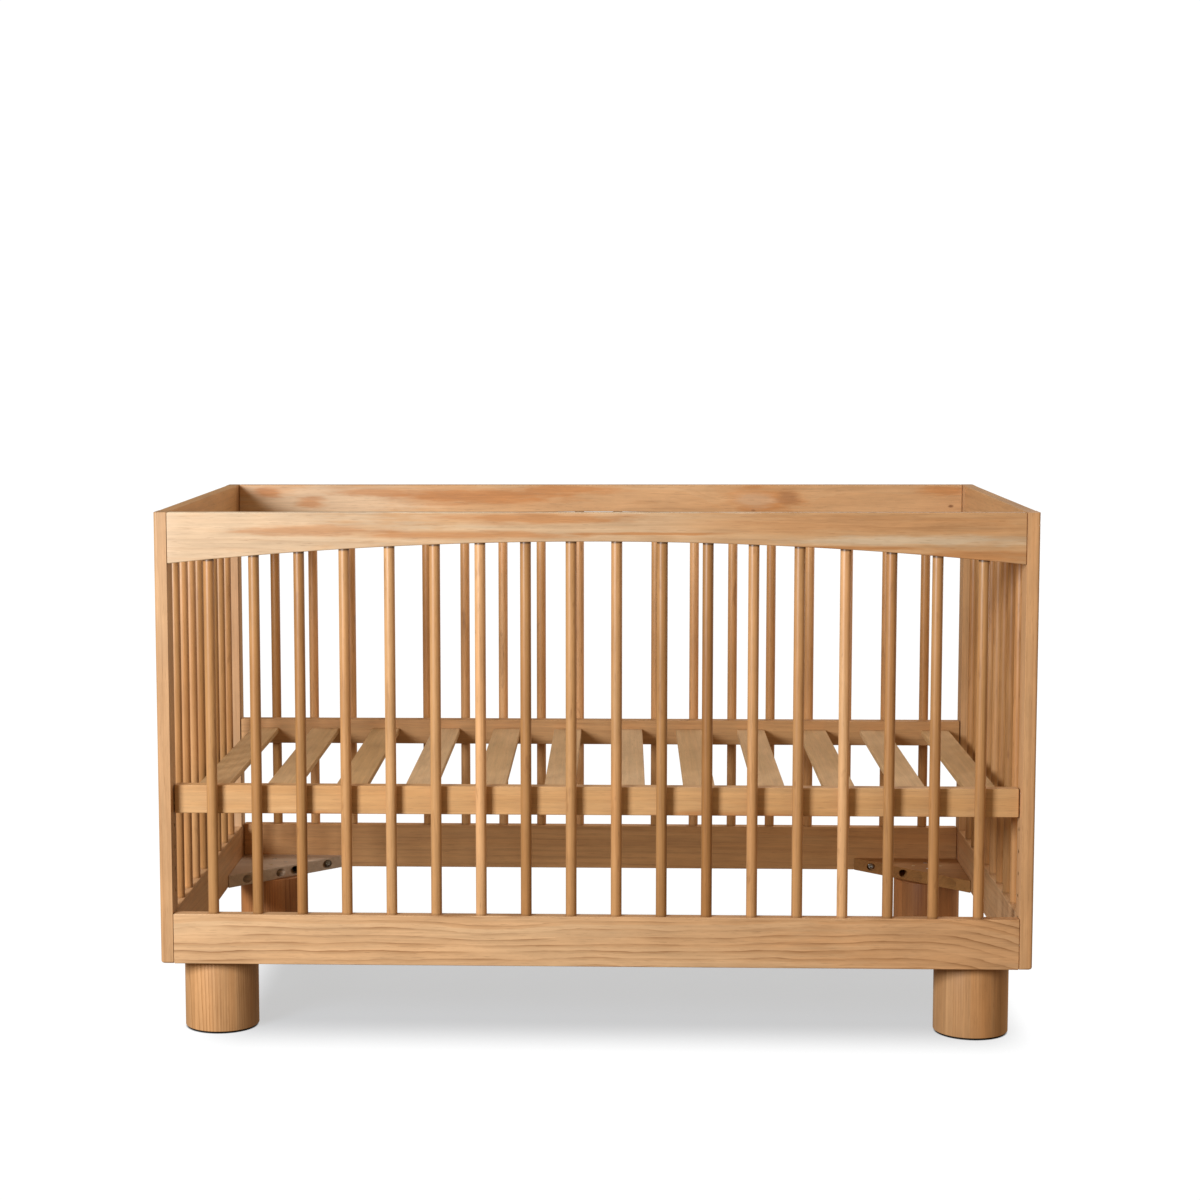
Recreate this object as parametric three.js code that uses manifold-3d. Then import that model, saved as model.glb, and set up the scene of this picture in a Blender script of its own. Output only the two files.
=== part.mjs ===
// Baby crib in pine: a flat-topped box of round spindles on four thick round feet.
// The slatted mattress base hangs on four bolts and can be set at seven heights.
// Millimetres, +Z up. The origin is on the floor, under the middle of the crib. The front faces -Y.
import * as THREE from "three";
import { mergeVertices } from "three/addons/utils/BufferGeometryUtils.js";
import Module from "manifold-3d";

// Whole crib
const LENGTH = 1366;
const DEPTH = 750;
const GAP = 0.3; // air left between pieces that touch

// Feet and the glides under them
const GLIDE_HEIGHT = 3;
const GLIDE_RADIUS = 52;
const FOOT_HEIGHT = 117;
const FOOT_RADIUS = 59;
const FOOT_INSET = 83; // from the outer faces to the foot's axis

// Four upright panels of boards and spindles
const PANEL_HEIGHT = 714;
const BOARD = 20; // thickness of stiles and rails
const STILE_WIDTH = 45;
const STILE_ROUND = 5; // outer upright edge
const RAIL_HEIGHT = 80;
const ARCH_RISE = 35; // the long top rails are thinner in the middle
const TENON_THICKNESS = 10;
const TENON_SHOULDER = 15; // wood above and below a tenon
const LONG_TENON = 12;
const END_TENON = 10;

// Spindles
const SPINDLE_RADIUS = 8.5;
const SPINDLE_SEAT = 12; // depth of a spindle's housing
const LONG_SPINDLES = 18;
const LONG_PITCH = 70.5;
const END_SPINDLES = 8;
const END_PITCH = 73.3;

// Corner plates that tie the rails together and carry the feet
const PLATE_THICKNESS = 22;
const PLATE_LEG = 189;
const PLATE_TIP = 2;
const PLATE_BOLTS = [107, 160]; // from the inner corner, along each rail
const PLATE_RECESS_RADIUS = 7.5;
const PLATE_SEAT = 16; // wood left under a bolt head
const PLATE_BOLT_RADIUS = 3.3;

// Mattress base
const BASE_TOP = 402;
const BASE_RAIL_HEIGHT = 45;
const BASE_RAIL_THICKNESS = 22;
const BASE_SIDE_AIR = 2; // between a base rail and the panel beside it
const BASE_END_AIR = 1.5; // between a base rail and the stiles
const SLATS = 12;
const SLAT_WIDTH = 50;
const SLAT_THICKNESS = 10;
const SLAT_PITCH = 112;
const SLAT_DROP = 16; // from the base rails' top edge to the slats' top face
const SLAT_TENON = 10; // how far a slat goes into a base rail
const SLAT_SHOULDER = 2; // wood cut away all round a slat's tenon
const HEIGHTS = 7;
const HEIGHT_STEP = 35;

// Bolts of the mattress base
const BOLT_RADIUS = 3;
const BOLT_HOLE_RADIUS = 3.4;
const BOLT_GRIP = 32; // how far a bolt goes into a base rail
const BOLT_HEAD_RADIUS = 7.5;
const BOLT_HEAD_HEIGHT = 3;
const BOLT_INSET = 29; // from the long outer face to the bolt's axis
const BOLT_DROP = 30; // from the base rails' top edge to the bolt's axis

// Facets
const SPINDLE_SIDES = 16;
const HOLE_SIDES = 12;
const FOOT_SIDES = 48;
const ARCH_STEPS = 32;

const HALF_LENGTH = LENGTH / 2;
const HALF_DEPTH = DEPTH / 2;
const PANEL_BOTTOM = GLIDE_HEIGHT + FOOT_HEIGHT;
const PANEL_TOP = PANEL_BOTTOM + PANEL_HEIGHT;
const BOTTOM_RAIL_TOP = PANEL_BOTTOM + RAIL_HEIGHT;
const TOP_RAIL_BOTTOM = PANEL_TOP - RAIL_HEIGHT;
const HALF_LONG_RAIL = HALF_LENGTH - BOARD;
const HALF_END_RAIL = HALF_DEPTH - STILE_WIDTH;
const BORE_RADIUS = SPINDLE_RADIUS + GAP;

const PINE = { color: 0xd9b084, roughness: 0.55, metalness: 0 };
const PINE_SLAT = { color: 0xb08d61, roughness: 0.75, metalness: 0 };
const STEEL = { color: 0xb9bbbd, roughness: 0.35, metalness: 1 };
const FELT = { color: 0x4a423a, roughness: 0.95, metalness: 0 };

const wasm = await Module();
wasm.setup();

/** The closed solid inside a geometry. */
function solid(geometry) {
  const bare = geometry.index ? geometry.toNonIndexed() : geometry.clone();
  bare.deleteAttribute("normal");
  bare.deleteAttribute("uv");
  const merged = mergeVertices(bare, 1e-3);
  return new wasm.Manifold(
    new wasm.Mesh({
      numProp: 3,
      vertProperties: merged.attributes.position.array,
      triVerts: new Uint32Array(merged.index.array),
    }),
  );
}

/** A base geometry with some geometries joined on and others cut away. */
function shaped(base, { joined = [], cut = [] }) {
  let body = solid(base);
  for (const piece of joined) body = body.add(solid(piece));
  for (const piece of cut) body = body.subtract(solid(piece));
  const mesh = body.getMesh();
  const geometry = new THREE.BufferGeometry();
  geometry.setAttribute("position", new THREE.BufferAttribute(mesh.vertProperties, 3));
  geometry.setIndex(new THREE.BufferAttribute(mesh.triVerts, 1));
  geometry.computeVertexNormals();
  return geometry;
}

/** A rectangular block between two corners. */
function block([x0, y0, z0], [x1, y1, z1]) {
  return new THREE.BoxGeometry(x1 - x0, y1 - y0, z1 - z0).translate(
    (x0 + x1) / 2,
    (y0 + y1) / 2,
    (z0 + z1) / 2,
  );
}

/** A round rod along the x, y or z axis, from one coordinate to another, through a point. */
function rod(axis, radius, low, high, [x, y, z], sides = SPINDLE_SIDES) {
  const geometry = new THREE.CylinderGeometry(radius, radius, high - low, sides);
  const middle = (low + high) / 2;
  if (axis === "x") return geometry.rotateZ(Math.PI / 2).translate(middle, y, z);
  if (axis === "y") return geometry.translate(x, middle, z);
  return geometry.rotateX(Math.PI / 2).translate(x, y, middle);
}

/** Evenly spaced places, centred on zero. */
function spaced(count, pitch) {
  return Array.from({ length: count }, (_, i) => (i - (count - 1) / 2) * pitch);
}

const ARCH_RADIUS = (HALF_LONG_RAIL ** 2 + ARCH_RISE ** 2) / (2 * ARCH_RISE);
const ARCH_CENTRE = TOP_RAIL_BOTTOM + ARCH_RISE - ARCH_RADIUS;

/** Height of the arched underside of a long top rail. */
function archHeight(x) {
  return ARCH_CENTRE + Math.sqrt(ARCH_RADIUS ** 2 - x ** 2);
}

/** Both stub tenons of a board that runs along x or y, made oversize by `extra` for a mortise. */
function tenons(axis, halfLength, length, low, extra = 0) {
  const bottom = low + TENON_SHOULDER - extra;
  const top = low + RAIL_HEIGHT - TENON_SHOULDER + extra;
  const side = (BOARD - TENON_THICKNESS) / 2 - extra;
  const reach = halfLength + length - GAP + extra;
  return [-1, 1].map((end) => {
    const [near, far] = end < 0 ? [-reach, GAP - halfLength + 1] : [halfLength - GAP - 1, reach];
    return axis === "x"
      ? block([near, HALF_DEPTH - BOARD + side, bottom], [far, HALF_DEPTH - side, top])
      : block([HALF_LENGTH - BOARD + side, near, bottom], [HALF_LENGTH - side, far, top]);
  });
}

/** A long rail's square-ended board, at the back, between two heights. */
function longBoard(low, high) {
  return block(
    [-HALF_LONG_RAIL + GAP, HALF_DEPTH - BOARD, low],
    [HALF_LONG_RAIL - GAP, HALF_DEPTH, high],
  );
}

/** An end rail's square-ended board, at the right, between two heights. */
function endBoard(low, high) {
  return block(
    [HALF_LENGTH - BOARD, -HALF_END_RAIL + GAP, low],
    [HALF_LENGTH, HALF_END_RAIL - GAP, high],
  );
}

const LONG_AXIS = HALF_DEPTH - BOARD / 2; // the back spindles stand in this plane
const END_AXIS = HALF_LENGTH - BOARD / 2; // the right end's spindles stand in this plane

/** Spindles or their housings, for each place along a panel. */
function uprights(places, radius, low, highAt, pointAt) {
  return places.map((place) => rod("z", radius, low, highAt(place), pointAt(place)));
}

const longPlaces = spaced(LONG_SPINDLES, LONG_PITCH);
const endPlaces = spaced(END_SPINDLES, END_PITCH);
const longPoint = (x) => [x, LONG_AXIS, 0];
const endPoint = (y) => [END_AXIS, y, 0];
const archSeat = (x) => archHeight(x) + SPINDLE_SEAT;
const straightSeat = () => TOP_RAIL_BOTTOM + SPINDLE_SEAT;
const HOUSING_BOTTOM = BOTTOM_RAIL_TOP - SPINDLE_SEAT;

/** The arched long top rail, at the back, with a housing for each spindle. */
function longTopRail() {
  const half = HALF_LONG_RAIL - GAP;
  const edge = archHeight(half) - ARCH_CENTRE;
  const outline = new THREE.Shape();
  outline.moveTo(-half, PANEL_TOP);
  outline.lineTo(-half, archHeight(half));
  outline.absarc(0, ARCH_CENTRE, ARCH_RADIUS, Math.atan2(edge, -half), Math.atan2(edge, half), true);
  outline.lineTo(half, PANEL_TOP);
  outline.closePath();
  const board = new THREE.ExtrudeGeometry(outline, {
    depth: BOARD,
    bevelEnabled: false,
    curveSegments: ARCH_STEPS,
  });
  board.rotateX(Math.PI / 2).translate(0, HALF_DEPTH, 0);
  return shaped(board, {
    joined: tenons("x", HALF_LONG_RAIL, LONG_TENON, TOP_RAIL_BOTTOM),
    cut: uprights(longPlaces, BORE_RADIUS, TOP_RAIL_BOTTOM - 1, (x) => archSeat(x) + GAP, longPoint),
  });
}

/** The long bottom rail, at the back: with housings, or with its spindles glued in. */
function longBottomRail(withSpindles) {
  const board = longBoard(PANEL_BOTTOM, BOTTOM_RAIL_TOP);
  const ends = tenons("x", HALF_LONG_RAIL, LONG_TENON, PANEL_BOTTOM);
  if (withSpindles) {
    const spindles = uprights(longPlaces, SPINDLE_RADIUS, HOUSING_BOTTOM, archSeat, longPoint);
    return shaped(board, { joined: [...ends, ...spindles] });
  }
  const top = () => BOTTOM_RAIL_TOP + 1;
  const housings = uprights(longPlaces, BORE_RADIUS, HOUSING_BOTTOM - GAP, top, longPoint);
  return shaped(board, { joined: ends, cut: housings });
}

/** The straight end top rail, at the right, with a housing for each spindle. */
function endTopRail() {
  const top = () => straightSeat() + GAP;
  return shaped(endBoard(TOP_RAIL_BOTTOM, PANEL_TOP), {
    joined: tenons("y", HALF_END_RAIL, END_TENON, TOP_RAIL_BOTTOM),
    cut: uprights(endPlaces, BORE_RADIUS, TOP_RAIL_BOTTOM - 1, top, endPoint),
  });
}

/** The end bottom rail, at the right, with its spindles glued in. */
function endBottomRail() {
  return shaped(endBoard(PANEL_BOTTOM, BOTTOM_RAIL_TOP), {
    joined: [
      ...tenons("y", HALF_END_RAIL, END_TENON, PANEL_BOTTOM),
      ...uprights(endPlaces, SPINDLE_RADIUS, HOUSING_BOTTOM, straightSeat, endPoint),
    ],
  });
}

/** The back right stile, with its mortises and the row of holes for the base's bolt. */
function stile() {
  const [x0, x1] = [HALF_LENGTH - BOARD, HALF_LENGTH];
  const [y0, y1] = [HALF_DEPTH - STILE_WIDTH, HALF_DEPTH];
  const outline = new THREE.Shape();
  outline.moveTo(x0, y0);
  outline.lineTo(x1, y0);
  outline.lineTo(x1, y1 - STILE_ROUND);
  outline.absarc(x1 - STILE_ROUND, y1 - STILE_ROUND, STILE_ROUND, 0, Math.PI / 2, false);
  outline.lineTo(x0, y1);
  outline.closePath();
  const board = new THREE.ExtrudeGeometry(outline, {
    depth: PANEL_HEIGHT,
    bevelEnabled: false,
    curveSegments: 4,
  });
  board.translate(0, 0, PANEL_BOTTOM);
  const mortises = [PANEL_BOTTOM, TOP_RAIL_BOTTOM].flatMap((low) => [
    tenons("x", HALF_LONG_RAIL, LONG_TENON, low, GAP)[1],
    tenons("y", HALF_END_RAIL, END_TENON, low, GAP)[1],
  ]);
  const holes = Array.from({ length: HEIGHTS }, (_, i) => {
    const height = BASE_TOP - BOLT_DROP - i * HEIGHT_STEP;
    const axis = [0, HALF_DEPTH - BOLT_INSET, height];
    return rod("x", BOLT_HOLE_RADIUS, x0 - 1, x1 + 1, axis, HOLE_SIDES);
  });
  return shaped(board, { cut: [...mortises, ...holes] });
}

/** The back right corner plate, with two deep bolt recesses towards each rail. */
function cornerPlate() {
  const [cornerX, cornerY] = [HALF_LENGTH - BOARD, HALF_DEPTH - BOARD];
  const outline = new THREE.Shape();
  outline.moveTo(cornerX - GAP, cornerY - GAP);
  outline.lineTo(cornerX - PLATE_LEG, cornerY - GAP);
  outline.lineTo(cornerX - PLATE_LEG, cornerY - PLATE_TIP);
  outline.lineTo(cornerX - PLATE_TIP, cornerY - PLATE_LEG);
  outline.lineTo(cornerX - GAP, cornerY - PLATE_LEG);
  outline.closePath();
  const board = new THREE.ExtrudeGeometry(outline, {
    depth: PLATE_THICKNESS,
    bevelEnabled: false,
  });
  board.translate(0, 0, PANEL_BOTTOM);
  const height = PANEL_BOTTOM + PLATE_THICKNESS / 2;
  const recesses = PLATE_BOLTS.flatMap((along) => {
    const towardsBack = [cornerX - along, 0, height];
    const towardsEnd = [0, cornerY - along, height];
    const [seatX, seatY] = [cornerX - PLATE_SEAT, cornerY - PLATE_SEAT];
    return [
      rod("y", PLATE_RECESS_RADIUS, cornerY - PLATE_LEG, seatY, towardsBack),
      rod("x", PLATE_RECESS_RADIUS, cornerX - PLATE_LEG, seatX, towardsEnd),
      rod("y", PLATE_BOLT_RADIUS, seatY - 1, cornerY, towardsBack, HOLE_SIDES),
      rod("x", PLATE_BOLT_RADIUS, seatX - 1, cornerX, towardsEnd, HOLE_SIDES),
    ];
  });
  return shaped(board, { cut: recesses });
}

/** A round block that stands in the back right corner, between two heights. */
function cornerDisc(radius, low, high) {
  const axis = [HALF_LENGTH - FOOT_INSET, HALF_DEPTH - FOOT_INSET, 0];
  return rod("z", radius, low, high, axis, FOOT_SIDES);
}

const BASE_OUTER = HALF_DEPTH - BOARD - BASE_SIDE_AIR;
const BASE_INNER = BASE_OUTER - BASE_RAIL_THICKNESS;
const HALF_BASE_RAIL = HALF_LONG_RAIL - BASE_END_AIR;
const SLAT_TOP = BASE_TOP - SLAT_DROP;
const BOLT_POINT = [0, HALF_DEPTH - BOLT_INSET, BASE_TOP - BOLT_DROP];

/** A bar that makes both tenons of a slat, oversize by `extra` for their mortises. */
function slatTenons(x, extra = 0) {
  const reach = BASE_INNER + SLAT_TENON - GAP + extra;
  const half = SLAT_WIDTH / 2 - SLAT_SHOULDER + extra;
  return block(
    [x - half, -reach, SLAT_TOP - SLAT_THICKNESS + SLAT_SHOULDER - extra],
    [x + half, reach, SLAT_TOP - SLAT_SHOULDER + extra],
  );
}

/** A slat of the mattress base, shouldered down to a tenon at each end. */
function slat(x) {
  const reach = BASE_INNER - GAP;
  const board = block(
    [x - SLAT_WIDTH / 2, -reach, SLAT_TOP - SLAT_THICKNESS],
    [x + SLAT_WIDTH / 2, reach, SLAT_TOP],
  );
  return shaped(board, { joined: [slatTenons(x)] });
}

/** The back base rail, with a mortise for each slat and a bolt hole in each end. */
function baseRail() {
  const board = block(
    [-HALF_BASE_RAIL, BASE_INNER, BASE_TOP - BASE_RAIL_HEIGHT],
    [HALF_BASE_RAIL, BASE_OUTER, BASE_TOP],
  );
  const bottom = HALF_BASE_RAIL - BOLT_GRIP - 1;
  const end = HALF_BASE_RAIL + 1;
  return shaped(board, {
    cut: [
      ...spaced(SLATS, SLAT_PITCH).map((x) => slatTenons(x, GAP)),
      rod("x", BOLT_HOLE_RADIUS, bottom, end, BOLT_POINT, HOLE_SIDES),
      rod("x", BOLT_HOLE_RADIUS, -end, -bottom, BOLT_POINT, HOLE_SIDES),
    ],
  });
}

/** The back right bolt of the mattress base: head outside the stile, shank into the base rail. */
function baseBolt() {
  const face = HALF_LENGTH + GAP;
  const shank = rod("x", BOLT_RADIUS, HALF_BASE_RAIL - BOLT_GRIP, face + 1, BOLT_POINT, HOLE_SIDES);
  const head = rod("x", BOLT_HEAD_RADIUS, face, face + BOLT_HEAD_HEIGHT, BOLT_POINT);
  return shaped(head, { joined: [shank] });
}

const crib = new THREE.Group();

/** Adds one named piece, mirrored from the right or the back to where it belongs. */
function add(name, geometry, look, [mirrorX, mirrorY] = [1, 1]) {
  const mesh = new THREE.Mesh(geometry, new THREE.MeshStandardMaterial(look));
  mesh.name = name;
  mesh.scale.set(mirrorX, mirrorY, 1);
  crib.add(mesh);
}

const CORNERS = {
  front_left: [-1, -1],
  front_right: [1, -1],
  back_left: [-1, 1],
  back_right: [1, 1],
};
const FRONT = [1, -1];
const LEFT = [-1, 1];
const numbered = (name, i) => `${name}_${String(i + 1).padStart(2, "0")}`;

add("back_top_rail", longTopRail(), PINE);
add("front_top_rail", longTopRail(), PINE, FRONT);
add("back_spindle_rail", longBottomRail(true), PINE);
add("front_bottom_rail", longBottomRail(false), PINE, FRONT);
longPlaces.forEach((x, i) => {
  const spindle = rod("z", SPINDLE_RADIUS, HOUSING_BOTTOM, archSeat(x), longPoint(x));
  add(numbered("front_spindle", i), spindle, PINE, FRONT);
});
for (const [side, mirror] of Object.entries({ left: LEFT, right: [1, 1] })) {
  add(`${side}_top_rail`, endTopRail(), PINE, mirror);
  add(`${side}_spindle_rail`, endBottomRail(), PINE, mirror);
}
for (const [corner, mirror] of Object.entries(CORNERS)) {
  add(`stile_${corner}`, stile(), PINE, mirror);
  add(`corner_plate_${corner}`, cornerPlate(), PINE, mirror);
  add(`foot_${corner}`, cornerDisc(FOOT_RADIUS, GLIDE_HEIGHT, PANEL_BOTTOM - GAP), PINE, mirror);
  add(`glide_${corner}`, cornerDisc(GLIDE_RADIUS, 0, GLIDE_HEIGHT - GAP), FELT, mirror);
  add(`base_bolt_${corner}`, baseBolt(), STEEL, mirror);
}
add("base_rail_back", baseRail(), PINE);
add("base_rail_front", baseRail(), PINE, FRONT);
spaced(SLATS, SLAT_PITCH).forEach((x, i) => add(numbered("base_slat", i), slat(x), PINE_SLAT));

export default crib;
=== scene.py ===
"""Baby crib in pine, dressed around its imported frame. Metres, +Z up, the front faces -Y."""

import logging
import math
from dataclasses import dataclass, replace
from enum import Enum
from typing import Any, Callable, Iterable, Sequence

import bmesh
import bpy
from mathutils import Matrix, Vector


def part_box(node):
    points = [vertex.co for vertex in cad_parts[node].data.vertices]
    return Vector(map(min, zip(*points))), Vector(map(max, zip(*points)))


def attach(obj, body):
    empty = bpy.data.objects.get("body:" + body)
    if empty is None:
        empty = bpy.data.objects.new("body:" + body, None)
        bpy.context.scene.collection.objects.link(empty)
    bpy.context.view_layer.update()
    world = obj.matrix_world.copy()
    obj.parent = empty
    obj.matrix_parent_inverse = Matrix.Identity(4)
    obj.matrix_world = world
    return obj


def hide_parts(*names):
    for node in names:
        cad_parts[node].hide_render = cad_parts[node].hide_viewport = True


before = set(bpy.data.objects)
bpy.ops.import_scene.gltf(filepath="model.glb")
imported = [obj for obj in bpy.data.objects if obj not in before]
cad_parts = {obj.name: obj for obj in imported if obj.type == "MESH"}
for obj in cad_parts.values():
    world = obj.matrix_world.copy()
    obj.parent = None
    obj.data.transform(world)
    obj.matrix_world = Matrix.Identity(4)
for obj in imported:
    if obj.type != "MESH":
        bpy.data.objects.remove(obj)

log = logging.getLogger("crib")
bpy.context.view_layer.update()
MM = 0.001
QUARTER = math.pi / 2
SHADING_WEIGHT = 90
SHARP = math.radians(25)
SLIVER = 0.06 * MM
SPINDLE_SIDES, FOOT_SIDES, GLIDE_SIDES = 28, 96, 64
Colour = tuple[float, float, float]
Point = tuple[float, float, float]
Pair = tuple[float, float]
Socket = bpy.types.NodeSocket


def size_of(node: str) -> tuple[Vector, Vector]:
    """Lowest and highest corner of a CAD node, as vectors."""
    low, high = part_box(node)
    return Vector(low), Vector(high)


def carried(name: str, data: bpy.types.ID) -> bpy.types.Object:
    """An object in the scene that carries a mesh, a light or a camera."""
    made = bpy.data.objects.new(name, data)
    bpy.context.scene.collection.objects.link(made)
    return made


# ---------------------------------------------------------------- node graphs


class Figure(Enum):
    """Patterns in the wood, as their changes in a metre along and across the fibres."""

    SLOW_BEND = (1.7, 7.0)
    QUICK_BEND = (6.5, 14.0)
    FRAYED_RING = (15.0, 120.0)
    FADED_RING = (7.0, 45.0)
    BLUSH = (1.9, 11.0)
    FIBRE = (14.0, 620.0)
    STREAK = (3.2, 170.0)
    CLOUD = (11.0, 45.0)
    DUCT = (55.0, 1500.0)
    FLECK = (17.0, 75.0)


class Graph:
    """A shader or geometry node tree, with short ways to add nodes and join them."""

    def __init__(self, tree: bpy.types.NodeTree) -> None:
        """Takes the tree over and empties it."""
        self.tree = tree
        tree.nodes.clear()

    def put(self, socket: Socket, value: Any) -> None:
        """Joins a socket to another one, or sets its value.

        Args:
            socket: the input to fill.
            value: a socket to link from, or a plain value.
        """
        if isinstance(value, bpy.types.NodeSocket):
            self.tree.links.new(value, socket)
        else:
            socket.default_value = value

    def node(self, kind: str, inputs: dict | None = None, **settings: Any) -> bpy.types.Node:
        """Adds a node.

        Args:
            kind: the node's type name.
            inputs: values or sockets by input name or number.
            settings: attributes of the node, such as its operation.

        Returns:
            The new node.
        """
        made = self.tree.nodes.new(kind)
        for name, value in settings.items():
            setattr(made, name, value)
        for key, value in (inputs or {}).items():
            self.put(made.inputs[key], value)
        return made

    def math(self, operation: str, *values: Any, clamp: bool = False) -> Socket:
        """A number worked out from up to three others."""
        made = self.node("ShaderNodeMath", dict(enumerate(values)), operation=operation)
        made.use_clamp = clamp
        return made.outputs[0]

    def plus(self, first: Any, second: Any) -> Socket:
        """The sum of two numbers."""
        return self.math("ADD", first, second)

    def minus(self, first: Any, second: Any) -> Socket:
        """The difference of two numbers."""
        return self.math("SUBTRACT", first, second)

    def times(self, first: Any, second: Any) -> Socket:
        """The product of two numbers."""
        return self.math("MULTIPLY", first, second)

    def over(self, first: Any, second: Any) -> Socket:
        """The quotient of two numbers."""
        return self.math("DIVIDE", first, second)

    def times_plus(self, first: Any, second: Any, third: Any) -> Socket:
        """The product of two numbers, with a third added."""
        return self.math("MULTIPLY_ADD", first, second, third)

    def vector(self, operation: str, *values: Any) -> Socket:
        """A vector worked out from others, or the length of one."""
        made = self.node("ShaderNodeVectorMath", dict(enumerate(values)), operation=operation)
        return made.outputs["Value" if operation == "LENGTH" else "Vector"]

    def combine(self, x: Any, y: Any, z: Any) -> Socket:
        """A vector from three numbers."""
        return self.node("ShaderNodeCombineXYZ", {0: x, 1: y, 2: z}).outputs[0]

    def split(self, value: Socket) -> list[Socket]:
        """The three numbers of a vector."""
        return list(self.node("ShaderNodeSeparateXYZ", {0: value}).outputs)

    def position(self) -> Socket:
        """The piece's own coordinates."""
        return self.node("ShaderNodeTexCoord").outputs["Object"]

    def attribute(self, name: str) -> Socket:
        """A number that the piece's mesh carries."""
        return self.node("ShaderNodeAttribute", attribute_name=name).outputs["Fac"]

    def draw(self, number: Socket) -> Socket:
        """A random number from 0 to 1 that goes with another number."""
        return self.node("ShaderNodeTexWhiteNoise", {"W": number}, noise_dimensions="1D").outputs["Value"]

    def noise(self, place: Socket, scale: float = 1.0, detail: float = 2.0, rough: float = 0.5) -> Socket:
        """Smooth noise from 0 to 1 at a place."""
        inputs = {"Vector": place, "Scale": scale, "Detail": detail, "Roughness": rough}
        return self.node("ShaderNodeTexNoise", inputs).outputs[0]

    def drawn_out(self, place: Socket, kind: Figure) -> Socket:
        """A place in the scale of a pattern that follows the fibres."""
        along, across = kind.value
        return self.vector("MULTIPLY", place, (along, across, across))

    def figure(self, place: Socket, kind: Figure, detail: float = 2.0, rough: float = 0.5) -> Socket:
        """Smooth noise drawn out along the fibres."""
        return self.noise(self.drawn_out(place, kind), 1.0, detail, rough)

    def remap(self, value: Any, low: Any, high: Any, to_low: Any = 0.0, to_high: Any = 1.0) -> Socket:
        """A number moved from one range to another, smoothly and held inside it."""
        inputs = {"Value": value, "From Min": low, "From Max": high, "To Min": to_low, "To Max": to_high}
        return self.node("ShaderNodeMapRange", inputs, interpolation_type="SMOOTHSTEP").outputs[0]

    def mix(self, share: Any, first: Any, second: Any, blend: str = "MIX") -> Socket:
        """Two colours mixed by a share."""
        made = self.node("ShaderNodeMix", data_type="RGBA", blend_type=blend)
        for slot, value in ((0, share), (6, first), (7, second)):
            self.put(made.inputs[slot], (*value, 1.0) if isinstance(value, tuple) else value)
        return made.outputs[2]

    def ramp(self, value: Socket, stops: Sequence[Pair]) -> Socket:
        """A number bent through grey stops.

        Args:
            value: what is looked up, from 0 to 1.
            stops: pairs of position and level.

        Returns:
            The bent number.
        """
        made = self.node("ShaderNodeValToRGB", {0: value})
        elements = made.color_ramp.elements
        while len(elements) < len(stops):
            elements.new(0.5)
        for element, (position, level) in zip(elements, stops):
            element.position = position
            element.color = (level, level, level, 1.0)
        return made.outputs[0]

    def bump(self, height: Socket, strength: float, distance: float) -> Socket:
        """A fine relief."""
        inputs = {"Strength": strength, "Distance": distance, "Height": height}
        return self.node("ShaderNodeBump", inputs).outputs[0]

    def surface(self, inputs: dict[str, Any]) -> None:
        """Ends a material in one shader, with patterns linked and even values set on its sockets."""
        shader = self.node("ShaderNodeBsdfPrincipled", inputs)
        self.node("ShaderNodeOutputMaterial", {"Surface": shader.outputs[0]})


def new_material(name: str) -> tuple[bpy.types.Material, Graph]:
    """A material and its empty node graph."""
    material = bpy.data.materials.new(name)
    material.use_nodes = True
    return material, Graph(material.node_tree)


# ------------------------------------------------------------------- finishes


class Grain(Enum):
    """How a board lies in the crib, as the order of axes: along, across and through its face."""

    LONG_RAIL = (0, 2, 1)
    END_RAIL = (1, 2, 0)
    SLAT = (1, 0, 2)
    UPRIGHT = (2, 0, 1)
    FLAT = (0, 1, 2)


@dataclass(frozen=True)
class Knot:
    """A knot: its place along and across the wood, its radius, and how dark it is."""

    place: Pair
    radius: float = 0.006
    dark: float = 0.85


@dataclass(frozen=True)
class Patch:
    """A soft patch of another colour: its middle and reach along and across the wood."""

    middle: Pair
    reach: Pair
    colour: Colour
    share: float = 0.6


RING_PROFILE = ((0.0, 0.0), (0.50, 0.10), (0.82, 0.58), (0.93, 1.0), (1.0, 0.0))
LENGTH_STEPS = (7.31, 1.93, 3.17)
STAVE_STEPS = (2.7, 0.06, 0.05)
STAVE_SLANT = 0.12
STAVE_TONES = (0.66, 1.16)
PALER_GREEN, PALER_BLUE = 0.06, 0.19
FLECK_BROWN = (0.25, 0.11, 0.04)
KNOT_BROWN = (0.20, 0.085, 0.035)
# the colour of the painted contact shade where a spindle enters a rail
SEAT_PAINTED_SHADE = (0.06, 0.03, 0.015)


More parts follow.
